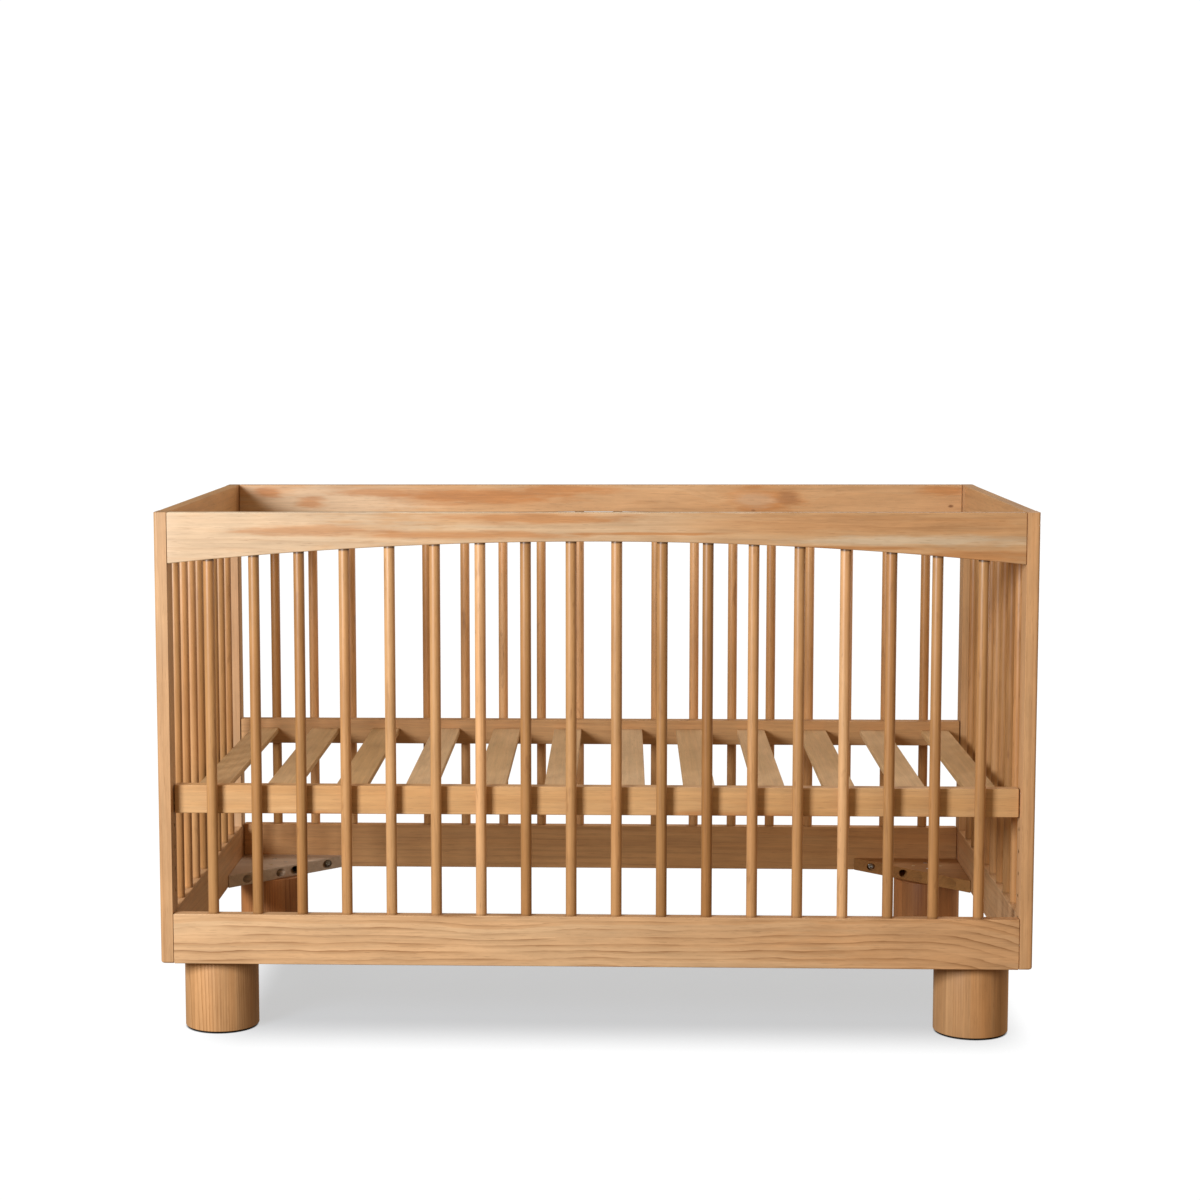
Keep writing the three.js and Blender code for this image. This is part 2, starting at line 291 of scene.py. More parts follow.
@dataclass(frozen=True)
class Pine:
    """Clear-lacquered pine with growth rings, fibres, warm patches and knots, and on spindles a painted
    contact shade where they enter their rails.
    """

    name: str
    grain: Grain
    early: Colour = (0.60, 0.365, 0.185)
    late: Colour = (0.38, 0.18, 0.068)
    blush: Colour = (0.55, 0.285, 0.120)
    blush_share: float = 0.55
    ring: float = 0.0085
    ring_strength: float = 0.5
    heart: Pair = (0.0, 0.0)
    lean: float = 0.02
    sweep: Pair = (0.0, 0.0)
    wave: float = 0.010
    ripple: float = 0.006
    band_share: float = 0.45
    flecks: float = 0.0
    seed: float = 0.0
    tone: float = 1.0
    tone_spread: float = 0.0
    stave: float = 0.0
    stave_start: float = 0.0
    roughness: float = 0.42
    paints_seat_shade: bool = False
    knots: tuple[Knot, ...] = ()
    patches: tuple[Patch, ...] = ()

    def _stave(self, graph: Graph, axes: list[Socket]) -> Socket:
        """The number of the glued stave that a point lies in."""
        turned = graph.times_plus(axes[2], STAVE_SLANT, graph.plus(axes[1], self.stave_start))
        return graph.math("FLOOR", graph.over(turned, self.stave))

    def _place(self, graph: Graph, axes: list[Socket]) -> list[Socket]:
        """The place along, across and through the fibres, moved on for each separate length."""
        if self.tone_spread:
            own, steps = graph.attribute("length_tone"), LENGTH_STEPS
        elif self.stave:
            own, steps = graph.draw(self._stave(graph, axes)), STAVE_STEPS
        else:
            return axes
        return [graph.times_plus(own, step, axis) for axis, step in zip(axes, steps)]

    def _own_tone(self, graph: Graph, axes: list[Socket]) -> Socket | float:
        """Brightness of this length of wood against its neighbours."""
        if self.stave:
            low, high = (self.tone * share for share in STAVE_TONES)
            number = graph.plus(self._stave(graph, axes), self.seed)
            return graph.times_plus(graph.draw(number), high - low, low)
        if not self.tone_spread:
            return self.tone
        return graph.times_plus(graph.attribute("length_shade"), self.tone_spread, self.tone)

    def _tinted(self, graph: Graph, value: Socket) -> Socket:
        """A brightness as a colour: brighter lengths are paler and darker ones are redder."""
        if not self.tone_spread:
            return graph.combine(value, value, value)
        own = graph.attribute("length_shade")
        green, blue = (graph.times_plus(own, share, 1.0) for share in (PALER_GREEN, PALER_BLUE))
        return graph.combine(value, graph.times(value, green), graph.times(value, blue))

    def _knots(self, graph: Graph, parts: list[Socket]) -> tuple[Any, Any]:
        """How far the knots push the rings aside, and how dark they make the wood."""
        push: Any = 0.0
        dark: Any = 0.0
        for knot in self.knots:
            along, across = (graph.minus(part, at) for part, at in zip(parts, knot.place))
            flat = graph.combine(graph.times(along, 0.55), across, 0.0)
            away = graph.vector("LENGTH", flat)
            wobble = graph.times_plus(graph.noise(flat, 300.0), knot.radius * 0.5, away)
            near = graph.remap(away, 0.0, knot.radius * 4.5, 1.0, 0.0)
            push = graph.times_plus(near, knot.radius * 2.2, push)
            core = graph.remap(wobble, knot.radius * 0.55, knot.radius * 1.35, knot.dark, 0.0)
            dark = graph.math("MAXIMUM", core, dark)
        return push, dark

    def _turns(self, graph: Graph, parts: list[Socket], seeded: Socket, push: Any) -> Socket:
        """The number of growth rings between a point and the heart of its log.

        Args:
            graph: the material's graph.
            parts: the place along, across and through the fibres.
            seeded: the same place as a vector, moved on by the seed.
            push: how far the knots push the rings aside.

        Returns:
            The number, with its fraction inside a ring.
        """
        along, across, through = parts
        slow = graph.drawn_out(seeded, Figure.SLOW_BEND)
        bend = graph.minus(graph.noise(slow), 0.5)
        other = graph.minus(graph.noise(graph.vector("ADD", slow, (9.1, 3.7, 5.5))), 0.5)
        lean = graph.times(along, self.lean)
        if self.sweep[1]:
            past = graph.math("MAXIMUM", graph.minus(along, self.sweep[0]), 0.0)
            lean = graph.times_plus(graph.times(past, past), self.sweep[1], lean)
        side = graph.plus(graph.times_plus(bend, self.wave * 2.0, across), lean)
        ripple = graph.minus(graph.figure(seeded, Figure.QUICK_BEND, 1.0), 0.5)
        side = graph.times_plus(ripple, self.ripple, graph.plus(side, push))
        deep = graph.times_plus(other, self.wave * 2.0, through)
        gaps = [graph.minus(part, at) for part, at in zip((side, deep), self.heart)]
        turns = graph.over(graph.vector("LENGTH", graph.combine(*gaps, 0.0)), self.ring)
        fine = graph.figure(seeded, Figure.FRAYED_RING, 3.0)
        return graph.plus(turns, graph.times(fine, 0.55))

    def _rings(self, graph: Graph, seeded: Socket, turns: Socket) -> Socket:
        """How much late wood shows: each ring has its own weight and fades along its length."""
        ring = graph.ramp(graph.math("FRACT", turns), RING_PROFILE)
        weight = graph.times_plus(graph.draw(graph.math("FLOOR", turns)), 0.55, 0.45)
        fade = graph.remap(graph.figure(seeded, Figure.FADED_RING), 0.34, 0.66, 0.25, 1.15)
        ring = graph.times(ring, graph.times(weight, fade))
        return graph.times(ring, self.ring_strength)

    def _ground(self, graph: Graph, seeded: Socket, turns: Socket) -> Socket:
        """The early wood with its blush, which comes in drifts and in single rings."""
        drift = graph.remap(graph.figure(seeded, Figure.BLUSH, 3.0, 0.55), 0.36, 0.66)
        colour = graph.mix(graph.times(drift, self.blush_share), self.early, self.blush)
        band = graph.draw(graph.math("FLOOR", graph.plus(turns, 0.45)))
        return graph.mix(graph.times(band, self.band_share), colour, self.blush)

    def _patched(self, graph: Graph, colour: Socket, parts: list[Socket]) -> Socket:
        """Lays the patches over a colour, with frayed edges that follow the fibres."""
        if not self.patches:
            return colour
        scales = Figure.FRAYED_RING.value
        stretched = [graph.times(part, scale) for part, scale in zip(parts, scales)]
        fray = graph.noise(graph.combine(*stretched, self.seed), 1.0, 3.0, 0.6)
        fray = graph.minus(fray, 0.5)
        for patch in self.patches:
            gaps = [
                graph.over(graph.minus(part, middle), reach)
                for part, middle, reach in zip(parts, patch.middle, patch.reach)
            ]
            away = graph.vector("LENGTH", graph.combine(*gaps, 0.0))
            away = graph.times_plus(fray, 1.5, away)
            colour = graph.mix(graph.remap(away, 0.35, 1.1, patch.share, 0.0), colour, patch.colour)
        return colour

    def _value(self, graph: Graph, seeded: Socket, fibre: Socket, own: Socket | float) -> Socket:
        """The brightness of the wood, with its fibres, streaks and clouds."""
        streak = graph.figure(seeded, Figure.STREAK)
        cloud = graph.figure(seeded, Figure.CLOUD, 3.0, 0.6)
        value: Any = 1.0
        for noise, depth in ((fibre, 0.30), (streak, 0.36), (cloud, 0.42)):
            value = graph.times_plus(graph.minus(noise, 0.5), depth, value)
        return graph.times(value, own)

    def _painted_seat_shade(self, graph: Graph) -> Socket:
        """How much painted contact shade darkens a spindle, right where it enters a rail."""
        height = graph.split(graph.position())[2]
        shades = []
        for name, turn, share in (("seat_top", -1.0, 0.85), ("seat_bottom", 1.0, 0.30)):
            away = graph.times(graph.minus(height, graph.attribute(name)), turn)
            shades.append(graph.remap(away, 1.0 * MM, 4.2 * MM, share, 0.0))
        return graph.math("MAXIMUM", *shades)

    def build(self) -> bpy.types.Material:
        """Makes the material.

        Returns:
            A material whose pattern reads Object coordinates and, where lengths differ, an attribute.
        """
        material, graph = new_material(self.name)
        position = graph.split(graph.position())
        axes = [position[i] for i in self.grain.value]
        parts = self._place(graph, axes)
        push, knot_dark = self._knots(graph, parts)
        seeded = graph.combine(graph.plus(parts[0], self.seed), parts[1], parts[2])
        turns = self._turns(graph, parts, seeded, push)
        ring = self._rings(graph, seeded, turns)
        fibre = graph.figure(seeded, Figure.FIBRE, 2.0, 0.6)
        value = self._value(graph, seeded, fibre, self._own_tone(graph, axes))
        duct = graph.times(graph.remap(graph.figure(seeded, Figure.DUCT, 0.0), 0.70, 0.80), 0.35)

        colour = self._patched(graph, self._ground(graph, seeded, turns), parts)
        colour = graph.mix(ring, colour, self.late)
        colour = graph.mix(1.0, colour, self._tinted(graph, value), "MULTIPLY")
        colour = graph.mix(duct, colour, tuple(0.55 * part for part in self.late))
        if self.flecks:
            fleck = graph.figure(seeded, Figure.FLECK, 3.0, 0.62)
            colour = graph.mix(graph.remap(fleck, 0.60, 0.74, 0.0, self.flecks), colour, FLECK_BROWN)
        if self.knots:
            colour = graph.mix(knot_dark, colour, KNOT_BROWN)
        if self.paints_seat_shade:
            # painted contact shade where each spindle enters its rails
            colour = graph.mix(self._painted_seat_shade(graph), colour, SEAT_PAINTED_SHADE)

        height = graph.minus(graph.times_plus(fibre, 0.5, ring), duct)
        graph.surface(
            {
                "Base Color": colour,
                "Roughness": graph.times_plus(fibre, 0.16, self.roughness - 0.08),
                "Normal": graph.bump(height, 0.35, 0.3 * MM),
                "IOR": 1.45,
                "Specular IOR Level": 0.4,
                "Coat Weight": 0.06,
                "Coat Roughness": 0.3,
            }
        )
        return material


@dataclass(frozen=True)
class Zinc:
    """Zinc-plated steel, some pieces with a yellow cast, with fine scratches."""

    name: str = "zinc_plating"
    silver: Colour = (0.62, 0.62, 0.60)
    yellow: Colour = (0.68, 0.52, 0.26)
    tarnish: Colour = (0.30, 0.29, 0.27)

    def build(self) -> bpy.types.Material:
        """Makes the material."""
        material, graph = new_material(self.name)
        cast = graph.remap(graph.attribute("length_tone"), 0.55, 0.65)
        cloud = graph.noise(graph.position(), 900.0, 3.0)
        colour = graph.mix(cast, self.silver, self.yellow)
        colour = graph.mix(graph.times(cloud, 0.35), colour, self.tarnish)
        rough = graph.times_plus(cloud, 0.25, 0.22)
        normal = graph.bump(cloud, 0.2, 0.1 * MM)
        graph.surface({"Base Color": colour, "Roughness": rough, "Normal": normal, "Metallic": 1.0})
        return material


@dataclass(frozen=True)
class Felt:
    """Dense dark felt with matted fibres."""

    name: str = "glide_felt"
    dark: Colour = (0.016, 0.012, 0.010)
    pale: Colour = (0.045, 0.035, 0.028)

    def build(self) -> bpy.types.Material:
        """Makes the material."""
        material, graph = new_material(self.name)
        tangle = graph.noise(graph.position(), 1400.0, 4.0, 0.7)
        colour = graph.mix(tangle, self.dark, self.pale)
        normal = graph.bump(tangle, 0.8, 0.4 * MM)
        graph.surface({"Base Color": colour, "Normal": normal, "Roughness": 0.95, "Sheen Weight": 0.1})
        return material


# --------------------------------------------------------- geometry node trees


class Tree:
    """A geometry node tree with named inputs."""

    def __init__(
        self, name: str, floats: Iterable[str], counts: Iterable[str], template: bool = False
    ) -> None:
        """Makes the tree with its interface, which ends in a material.

        Args:
            name: the tree's name.
            floats: names of the inputs that are measures.
            counts: names of the inputs that are whole numbers.
            template: whether the tree sets another object on the points of its own mesh.
        """
        self.group = bpy.data.node_groups.new(name, "GeometryNodeTree")
        face = self.group.interface
        face.new_socket("Geometry", in_out="OUTPUT", socket_type="NodeSocketGeometry")
        kinds = {"Geometry": "Geometry", "Template": "Object"} if template else {}
        kinds |= dict.fromkeys(floats, "Float") | dict.fromkeys(counts, "Int") | {"Material": "Material"}
        for key, kind in kinds.items():
            face.new_socket(key, in_out="INPUT", socket_type=f"NodeSocket{kind}")
        self.graph = Graph(self.group)
        self.inputs = self.graph.node("NodeGroupInput").outputs

    def finish(self, geometry: Socket) -> "Tree":
        """Ends the tree in Realize Instances and Set Material."""
        real = self.graph.node("GeometryNodeRealizeInstances", {0: geometry})
        smooth = self.graph.node("GeometryNodeSetShadeSmooth", {0: real.outputs[0]})
        dressed = self.graph.node(
            "GeometryNodeSetMaterial", {"Geometry": smooth.outputs[0], "Material": self.inputs["Material"]}
        )
        self.graph.node("NodeGroupOutput", {0: dressed.outputs[0]})
        return self

    def grow(self, name: str, values: dict, start: bpy.types.Mesh | None = None) -> bpy.types.Mesh:
        """Runs the tree once and keeps its result.

        Args:
            name: the name of the mesh.
            values: a value for each named input.
            start: the mesh that the tree starts from, if it takes one.

        Returns:
            A plain mesh.
        """
        carrier = carried(name, start or bpy.data.meshes.new(name))
        modifier = carrier.modifiers.new("shape", "NODES")
        modifier.node_group = self.group
        for item in self.group.interface.items_tree:
            if item.in_out == "INPUT" and item.name in values:
                modifier[item.identifier] = values[item.name]
        return settle(carrier)


def settle(carrier: bpy.types.Object) -> bpy.types.Mesh:
    """Turns an object with live modifiers into a plain mesh, and removes the object."""
    carrier.modifiers.new("even_shading", "WEIGHTED_NORMAL").weight = SHADING_WEIGHT
    depsgraph = bpy.context.evaluated_depsgraph_get()
    depsgraph.update()
    mesh = bpy.data.meshes.new_from_object(carrier.evaluated_get(depsgraph))
    mesh.name = carrier.name
    bpy.data.objects.remove(carrier)
    return mesh


def arched(graph: Graph, rise: Socket, place: Socket, half: Socket) -> Socket:
    """How high an arch lies above its ends, at a place along its span."""
    portion = graph.math("POWER", graph.over(place, half), 2.0)
    return graph.times(rise, graph.minus(1.0, portion))


def board_tree() -> Tree:
    """A board along X with eased edges and, if wanted, an arched underside.

    Returns:
        A tree whose board is centred on X and Y and stands on Z = 0 at its ends.
    """
    tree = Tree("eased_board", ("Length", "Thickness", "Height", "Rise", "Edge"), ("Steps", "Corner Steps"))
    graph, given = tree.graph, tree.inputs
    edge = given["Edge"]
    around = graph.times(given["Corner Steps"], 4.0)
    rings = graph.plus(given["Steps"], 2.0)
    sizes = {"Vertices": around, "Side Segments": rings, "Radius": 1.0, "Depth": 1.0}
    drum = graph.node("GeometryNodeMeshCylinder", sizes)
    turn = graph.combine(0.0, 0.0, graph.over(math.pi, around))
    turned = graph.node("GeometryNodeTransform", {"Geometry": drum.outputs["Mesh"], "Rotation": turn})
    x, y, z = graph.split(graph.node("GeometryNodeInputPosition").outputs[0])
    angle = graph.math("ARCTAN2", y, x)
    ring = graph.math("ROUND", graph.times(graph.plus(z, 0.5), rings))
    share = graph.math("DIVIDE", graph.minus(ring, 1.0), given["Steps"], clamp=True)
    first = graph.math("LESS_THAN", ring, 0.5)
    last = graph.math("GREATER_THAN", ring, graph.minus(rings, 0.5))
    half = graph.times(given["Length"], 0.5)
    inner = graph.minus(half, edge)
    place = graph.times(inner, graph.times_plus(share, 2.0, -1.0))
    place = graph.times_plus(graph.minus(last, first), edge, place)
    inset = graph.times(graph.plus(first, last), edge)
    inset = graph.times(inset, END_INSET)
    under = arched(graph, given["Rise"], place, half)
    corner = graph.minus(edge, graph.times(inset, 0.5))

    def outward(direction: Socket, reach: Socket) -> Socket:
        """Where a rounded rectangle's edge lies in one direction."""
        flat = graph.minus(graph.minus(reach, corner), inset)
        sided = graph.times(graph.math("SIGN", direction), flat)
        return graph.times_plus(direction, corner, sided)

    tall = graph.minus(given["Height"], under)
    middle = graph.times(graph.plus(given["Height"], under), 0.5)
    wide = outward(graph.math("COSINE", angle), graph.times(given["Thickness"], 0.5))
    high = outward(graph.math("SINE", angle), graph.times(tall, 0.5))
    point = graph.combine(place, wide, graph.plus(middle, high))
    shaped = graph.node("GeometryNodeSetPosition", {"Geometry": turned.outputs[0], "Position": point})
    return tree.finish(shaped.outputs[0])


def row_points(graph: Graph, given: Any, height: Socket) -> Socket:
    """A centred row of points along X, by the tree's count and pitch."""
    reach = graph.times(graph.minus(given["Count"], 1.0), given["Pitch"])
    inputs = {
        "Count": given["Count"],
        "Start Location": graph.combine(graph.times(reach, -0.5), 0.0, height),
        "Offset": graph.combine(given["Pitch"], 0.0, 0.0),
    }
    return graph.node("GeometryNodeMeshLine", inputs).outputs[0]


def set_on(graph: Graph, points: Socket, instance: Socket, **turns: Any) -> Socket:
    """Copies of one shape, one on each point."""
    inputs = {"Points": points, "Instance": instance, **turns}
    return graph.node("GeometryNodeInstanceOnPoints", inputs).outputs[0]


def mark(graph: Graph, instances: Socket, name: str, value: Any) -> Socket:
    """Stores a number on every instance."""
    inputs = {"Geometry": instances, "Name": name, "Value": value}
    store = graph.node("GeometryNodeStoreNamedAttribute", inputs, data_type="FLOAT", domain="INSTANCE")
    return store.outputs[0]


def length_tone(graph: Graph, instances: Socket, seed: Any) -> Socket:
    """Gives every instance a random number from 0 to 1, and a random shade from -1 to 1."""
    tone, shade = (
        graph.node("FunctionNodeRandomValue", {"Seed": number}, data_type="FLOAT").outputs[1]
        for number in (seed, graph.plus(seed, 5.0))
    )
    shaded = graph.times_plus(shade, 2.0, -1.0)
    return mark(graph, mark(graph, instances, "length_tone", tone), "length_shade", shaded)


def spindle_tree() -> Tree:
    """A row of round spindles along X, cut to follow an arch above them."""
    floats = ("Pitch", "Radius", "Bottom", "Top", "Seat", "Rise", "Half Span")
    tree = Tree("spindle_row", floats, ("Count", "Seed"))
    graph, given = tree.graph, tree.inputs
    x = graph.split(graph.node("GeometryNodeInputPosition").outputs[0])[0]
    under = arched(graph, given["Rise"], x, given["Half Span"])
    reach = graph.minus(graph.plus(given["Top"], under), given["Bottom"])
    sizes = {"Vertices": SPINDLE_SIDES, "Side Segments": 1, "Radius": 1.0, "Depth": 1.0}
    dowel = graph.node("GeometryNodeMeshCylinder", sizes).outputs["Mesh"]
    raised = graph.node("GeometryNodeTransform", {"Geometry": dowel, "Translation": (0.0, 0.0, 0.5)})
    scale = graph.combine(given["Radius"], given["Radius"], reach)
    row = set_on(graph, row_points(graph, given, given["Bottom"]), raised.outputs[0], Scale=scale)
    own = length_tone(graph, row, given["Seed"])
    ends = graph.plus(graph.minus(given["Top"], given["Seat"]), under)
    # seat_top and seat_bottom mark where each spindle enters its rails, for its painted contact shade
    own = mark(graph, own, "seat_top", ends)
    own = mark(graph, own, "seat_bottom", graph.plus(given["Bottom"], given["Seat"]))
    return tree.finish(own)


def slat_tree(board: Tree) -> Tree:
    """A row of slats along X, each a board laid from front to back.

    Args:
        board: the tree of one board.

    Returns:
        The tree of the row.
    """
    tree = Tree("slat_row", ("Pitch", "Width", "Length", "Thickness", "Underside"), ("Count", "Seed"))
    graph, given = tree.graph, tree.inputs
    one = graph.node("GeometryNodeGroup", node_tree=board.group)
    sizes = {"Length": given["Length"], "Thickness": given["Width"], "Height": given["Thickness"]}
    sizes |= {"Rise": 0.0, "Edge": SLAT_EDGE, "Steps": 8, "Corner Steps": 4, "Material": given["Material"]}
    for key, value in sizes.items():
        graph.put(one.inputs[key], value)
    points = row_points(graph, given, given["Underside"])
    row = set_on(graph, points, one.outputs[0], Rotation=(0.0, 0.0, QUARTER))
    return tree.finish(length_tone(graph, row, given["Seed"]))


def fastener_tree() -> Tree:
    """One template set at each point of a mesh, turned to that point's axis."""
    tree = Tree("set_fasteners", (), ("Seed",), template=True)
    graph, given = tree.graph, tree.inputs
    axis = graph.node("GeometryNodeInputNamedAttribute", {"Name": "axis"}, data_type="FLOAT_VECTOR")
    turn = graph.node("FunctionNodeAlignRotationToVector", {"Vector": axis.outputs[0]}, axis="Z")
    template = graph.node("GeometryNodeObjectInfo", {"Object": given["Template"]}).outputs["Geometry"]
    row = set_on(graph, given["Geometry"], template, Rotation=turn.outputs[0])
    return tree.finish(length_tone(graph, row, given["Seed"]))


# ------------------------------------------------------------------ mesh tools

Outline = Callable[[float], float]
Plan = Sequence[Pair]
Rings = list[tuple[float | Outline, float]]
Fastening = tuple[Point, Point]


class Corner(Enum):
    """The four corners, as the signs of X and Y."""

    front_left = (-1, -1)
    front_right = (1, -1)
    back_left = (-1, 1)
    back_right = (1, 1)

    @property
    def mirror(self) -> Matrix:
        """Turns the back right corner into this one."""
        return Matrix.Diagonal((*self.value, 1.0, 1.0))


def show(name: str, mesh: bpy.types.Mesh, body: str, nodes: Iterable[str] = ()) -> None:
    """Makes a finished piece of a mesh.

    Args:
        name: the piece's name.
        mesh: its mesh, already in its place.
        body: the CAD body that it rides on.
        nodes: the CAD nodes that it stands for.
    """
    piece = carried(name, mesh)
    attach(piece, body)
    if nodes:
        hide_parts(*nodes)
    log.info("%s: %d faces on %s", name, len(mesh.polygons), body)


def placed(mesh: bpy.types.Mesh, matrix: Matrix) -> bpy.types.Mesh:
    """Moves a mesh to its place, and turns its faces back out if it was mirrored."""
    mesh.transform(matrix)
    if matrix.determinant() < 0:
        mesh.flip_normals()
    return mesh


def dressed(mesh: bpy.types.Mesh, finish: bpy.types.Material) -> bpy.types.Mesh:
    """Gives a mesh one material."""
    mesh.materials.clear()
    mesh.materials.append(finish)
    return mesh


def kept(name: str, shape: bmesh.types.BMesh) -> bpy.types.Mesh:
    """A mesh of a finished shape."""
    mesh = bpy.data.meshes.new(name)
    shape.to_mesh(mesh)
    shape.free()
    return mesh


def loft(name: str, levels: Sequence[tuple[Plan, float]]) -> bpy.types.Mesh:
    """A closed upright solid through plans at their heights.

    Args:
        name: the mesh's name.
        levels: a plan that runs anticlockwise, and its height, from the bottom up.

    Returns:
        The mesh, with its faces outwards.
    """
    shape = bmesh.new()
    loops = [[shape.verts.new((x, y, height)) for x, y in plan] for plan, height in levels]
    shape.faces.new(list(reversed(loops[0])))
    shape.faces.new(loops[-1])
    for below, above in zip(loops, loops[1:]):
        for i in range(len(below)):
            j = (i + 1) % len(below)
            shape.faces.new((below[i], below[j], above[j], above[i]))
    for face in shape.faces:
        face.smooth = True
    return kept(name, shape)


def ring_stack(name: str, rings: Rings, steps: int) -> bpy.types.Mesh:
    """A closed solid from a stack of rings round Z.

    Args:
        name: the mesh's name.
        rings: a radius, or a radius for each angle, and a height, from the bottom up.
        steps: points in each ring.

    Returns:
        The mesh, with its faces outwards.
    """
    turns = [2 * math.pi * i / steps for i in range(steps)]
    levels = []
    for radius, height in rings:
        reaches = [radius(turn) if callable(radius) else radius for turn in turns]
        levels.append(([(far * math.cos(a), far * math.sin(a)) for far, a in zip(reaches, turns)], height))
    return loft(name, levels)


def rounding(radius: float, steps: int) -> list[Pair]:
    """How far a rounded edge stands back from its side and from its end, from the end on."""
    angles = [QUARTER * i / steps for i in range(steps + 1)]
    return [(radius * (1 - math.sin(angle)), radius * (1 - math.cos(angle))) for angle in angles]


def disc_rings(radius: float, low: float, high: float, edges: Pair) -> Rings:
    """Rings of a disc with its lower and upper edge rounded."""
    bottom = [(radius - side, low + end) for side, end in rounding(edges[0], 4)]
    top = [(radius - side, high - end) for side, end in rounding(edges[1], 4)]
    return bottom + top[::-1]


def hexagon(across_flats: float) -> Outline:
    """The radius of a hexagon at an angle."""
    sixth = math.pi / 3
    return lambda angle: across_flats / 2 / math.cos((angle % sixth) - sixth / 2)


def cross(arm: float, half_width: float) -> Outline:
    """The radius of a cross recess at an angle."""
    return lambda angle: min(arm, half_width / max(1e-6, min(abs(math.sin(angle)), abs(math.cos(angle)))))


def eased(mesh: bpy.types.Mesh, width: float, segments: int = 3) -> bpy.types.Mesh:
    """Rounds the sharp edges of a mesh, and merges the slivers that the rounding leaves."""
    carrier = carried(mesh.name, mesh)
    bevel = carrier.modifiers.new("eased", "BEVEL")
    bevel.width, bevel.segments, bevel.limit_method = width, segments, "ANGLE"
    bevel.angle_limit = SHARP
    rounded = settle(carrier)
    shape = bmesh.new()
    shape.from_mesh(rounded)
    bmesh.ops.remove_doubles(shape, verts=shape.verts, dist=SLIVER)
    shape.to_mesh(rounded)
    shape.free()
    return rounded


class Run(Enum):
    """The way a bore runs, as the angle and the axis that turn it there from upright."""

    ALONG_X = (QUARTER, "Y")
    ALONG_Y = (QUARTER, "X")
    UPRIGHT = (0.0, "Z")


@dataclass(frozen=True)
class Bore:
    """A round cut: its middle, its depth, its radius at either end and the way it runs."""

    middle: Point
    depth: float
    radii: Pair
    run: Run = Run.UPRIGHT
    steps: int = 24


def cut_away(mesh: bpy.types.Mesh, bores: Iterable[Bore]) -> bpy.types.Mesh:
    """Cuts bores out of a mesh."""
    shape = bmesh.new()
    for bore in bores:
        angle, axis = bore.run.value
        bmesh.ops.create_cone(
            shape,
            cap_ends=True,
            segments=bore.steps,
            radius1=bore.radii[0],
            radius2=bore.radii[1],
            depth=bore.depth,
            matrix=Matrix.Translation(bore.middle) @ Matrix.Rotation(angle, 4, axis),
        )
    cutter = carried("bores", kept("bores", shape))
    carrier = carried(mesh.name, mesh)
    boolean = carrier.modifiers.new("cut", "BOOLEAN")
    boolean.operation, boolean.object, boolean.solver = "DIFFERENCE", cutter, "EXACT"
    result = settle(carrier)
    bpy.data.objects.remove(cutter)
    return result


# --------------------------------------------------------------- sub-assemblies

ROOT, BASE = "crib_frame", "mattress_base"
SLAT_SEED, BOLT_SEED, NUT_SEED, PLATE_BOLT_SEED, SCREW_SEED = 11, 21, 30, 3, 8
BOARD_EDGE = 1.8 * MM
SLAT_EDGE = 1.6 * MM
END_INSET = 0.8
STILE_GAP = 0.3 * MM
HOUSING = 6 * MM
SPINDLE = size_of("front_spindle_01")
SPINDLE_RADIUS = (SPINDLE[1].x - SPINDLE[0].x) / 2
ARCH_RISE = size_of("front_spindle_09")[1].z - size_of("front_top_rail")[0].z - 2 * HOUSING
STILE = size_of("stile_back_right")
PLATE = size_of("corner_plate_back_right")
FOOT = size_of("foot_back_right")
CORNER = Vector((STILE[0].x, size_of("back_top_rail")[0].y, (PLATE[0].z + PLATE[1].z) / 2))
BOARD_TREE = board_tree()
SPINDLE_TREE = spindle_tree()
SLAT_TREE = slat_tree(BOARD_TREE)
FASTENER_TREE = fastener_tree()


def board(
    name: str, size: Point, look: Pine, place: Matrix, steps: int = 12, rise: float = 0.0
) -> bpy.types.Mesh:
    """A board with eased edges.

    Args:
        name: the mesh's name.
        size: its length, thickness and height.
        look: its finish.
        place: the move from the origin to its place.
        steps: how often it is divided along its length.
        rise: how far its underside is arched.

    Returns:
        The mesh in its place.
    """
    values = {"Length": size[0], "Thickness": size[1], "Height": size[2], "Rise": rise, "Edge": BOARD_EDGE}
    values |= {"Steps": steps, "Corner Steps": 5, "Material": look.build()}
    return placed(BOARD_TREE.grow(name, values), place)


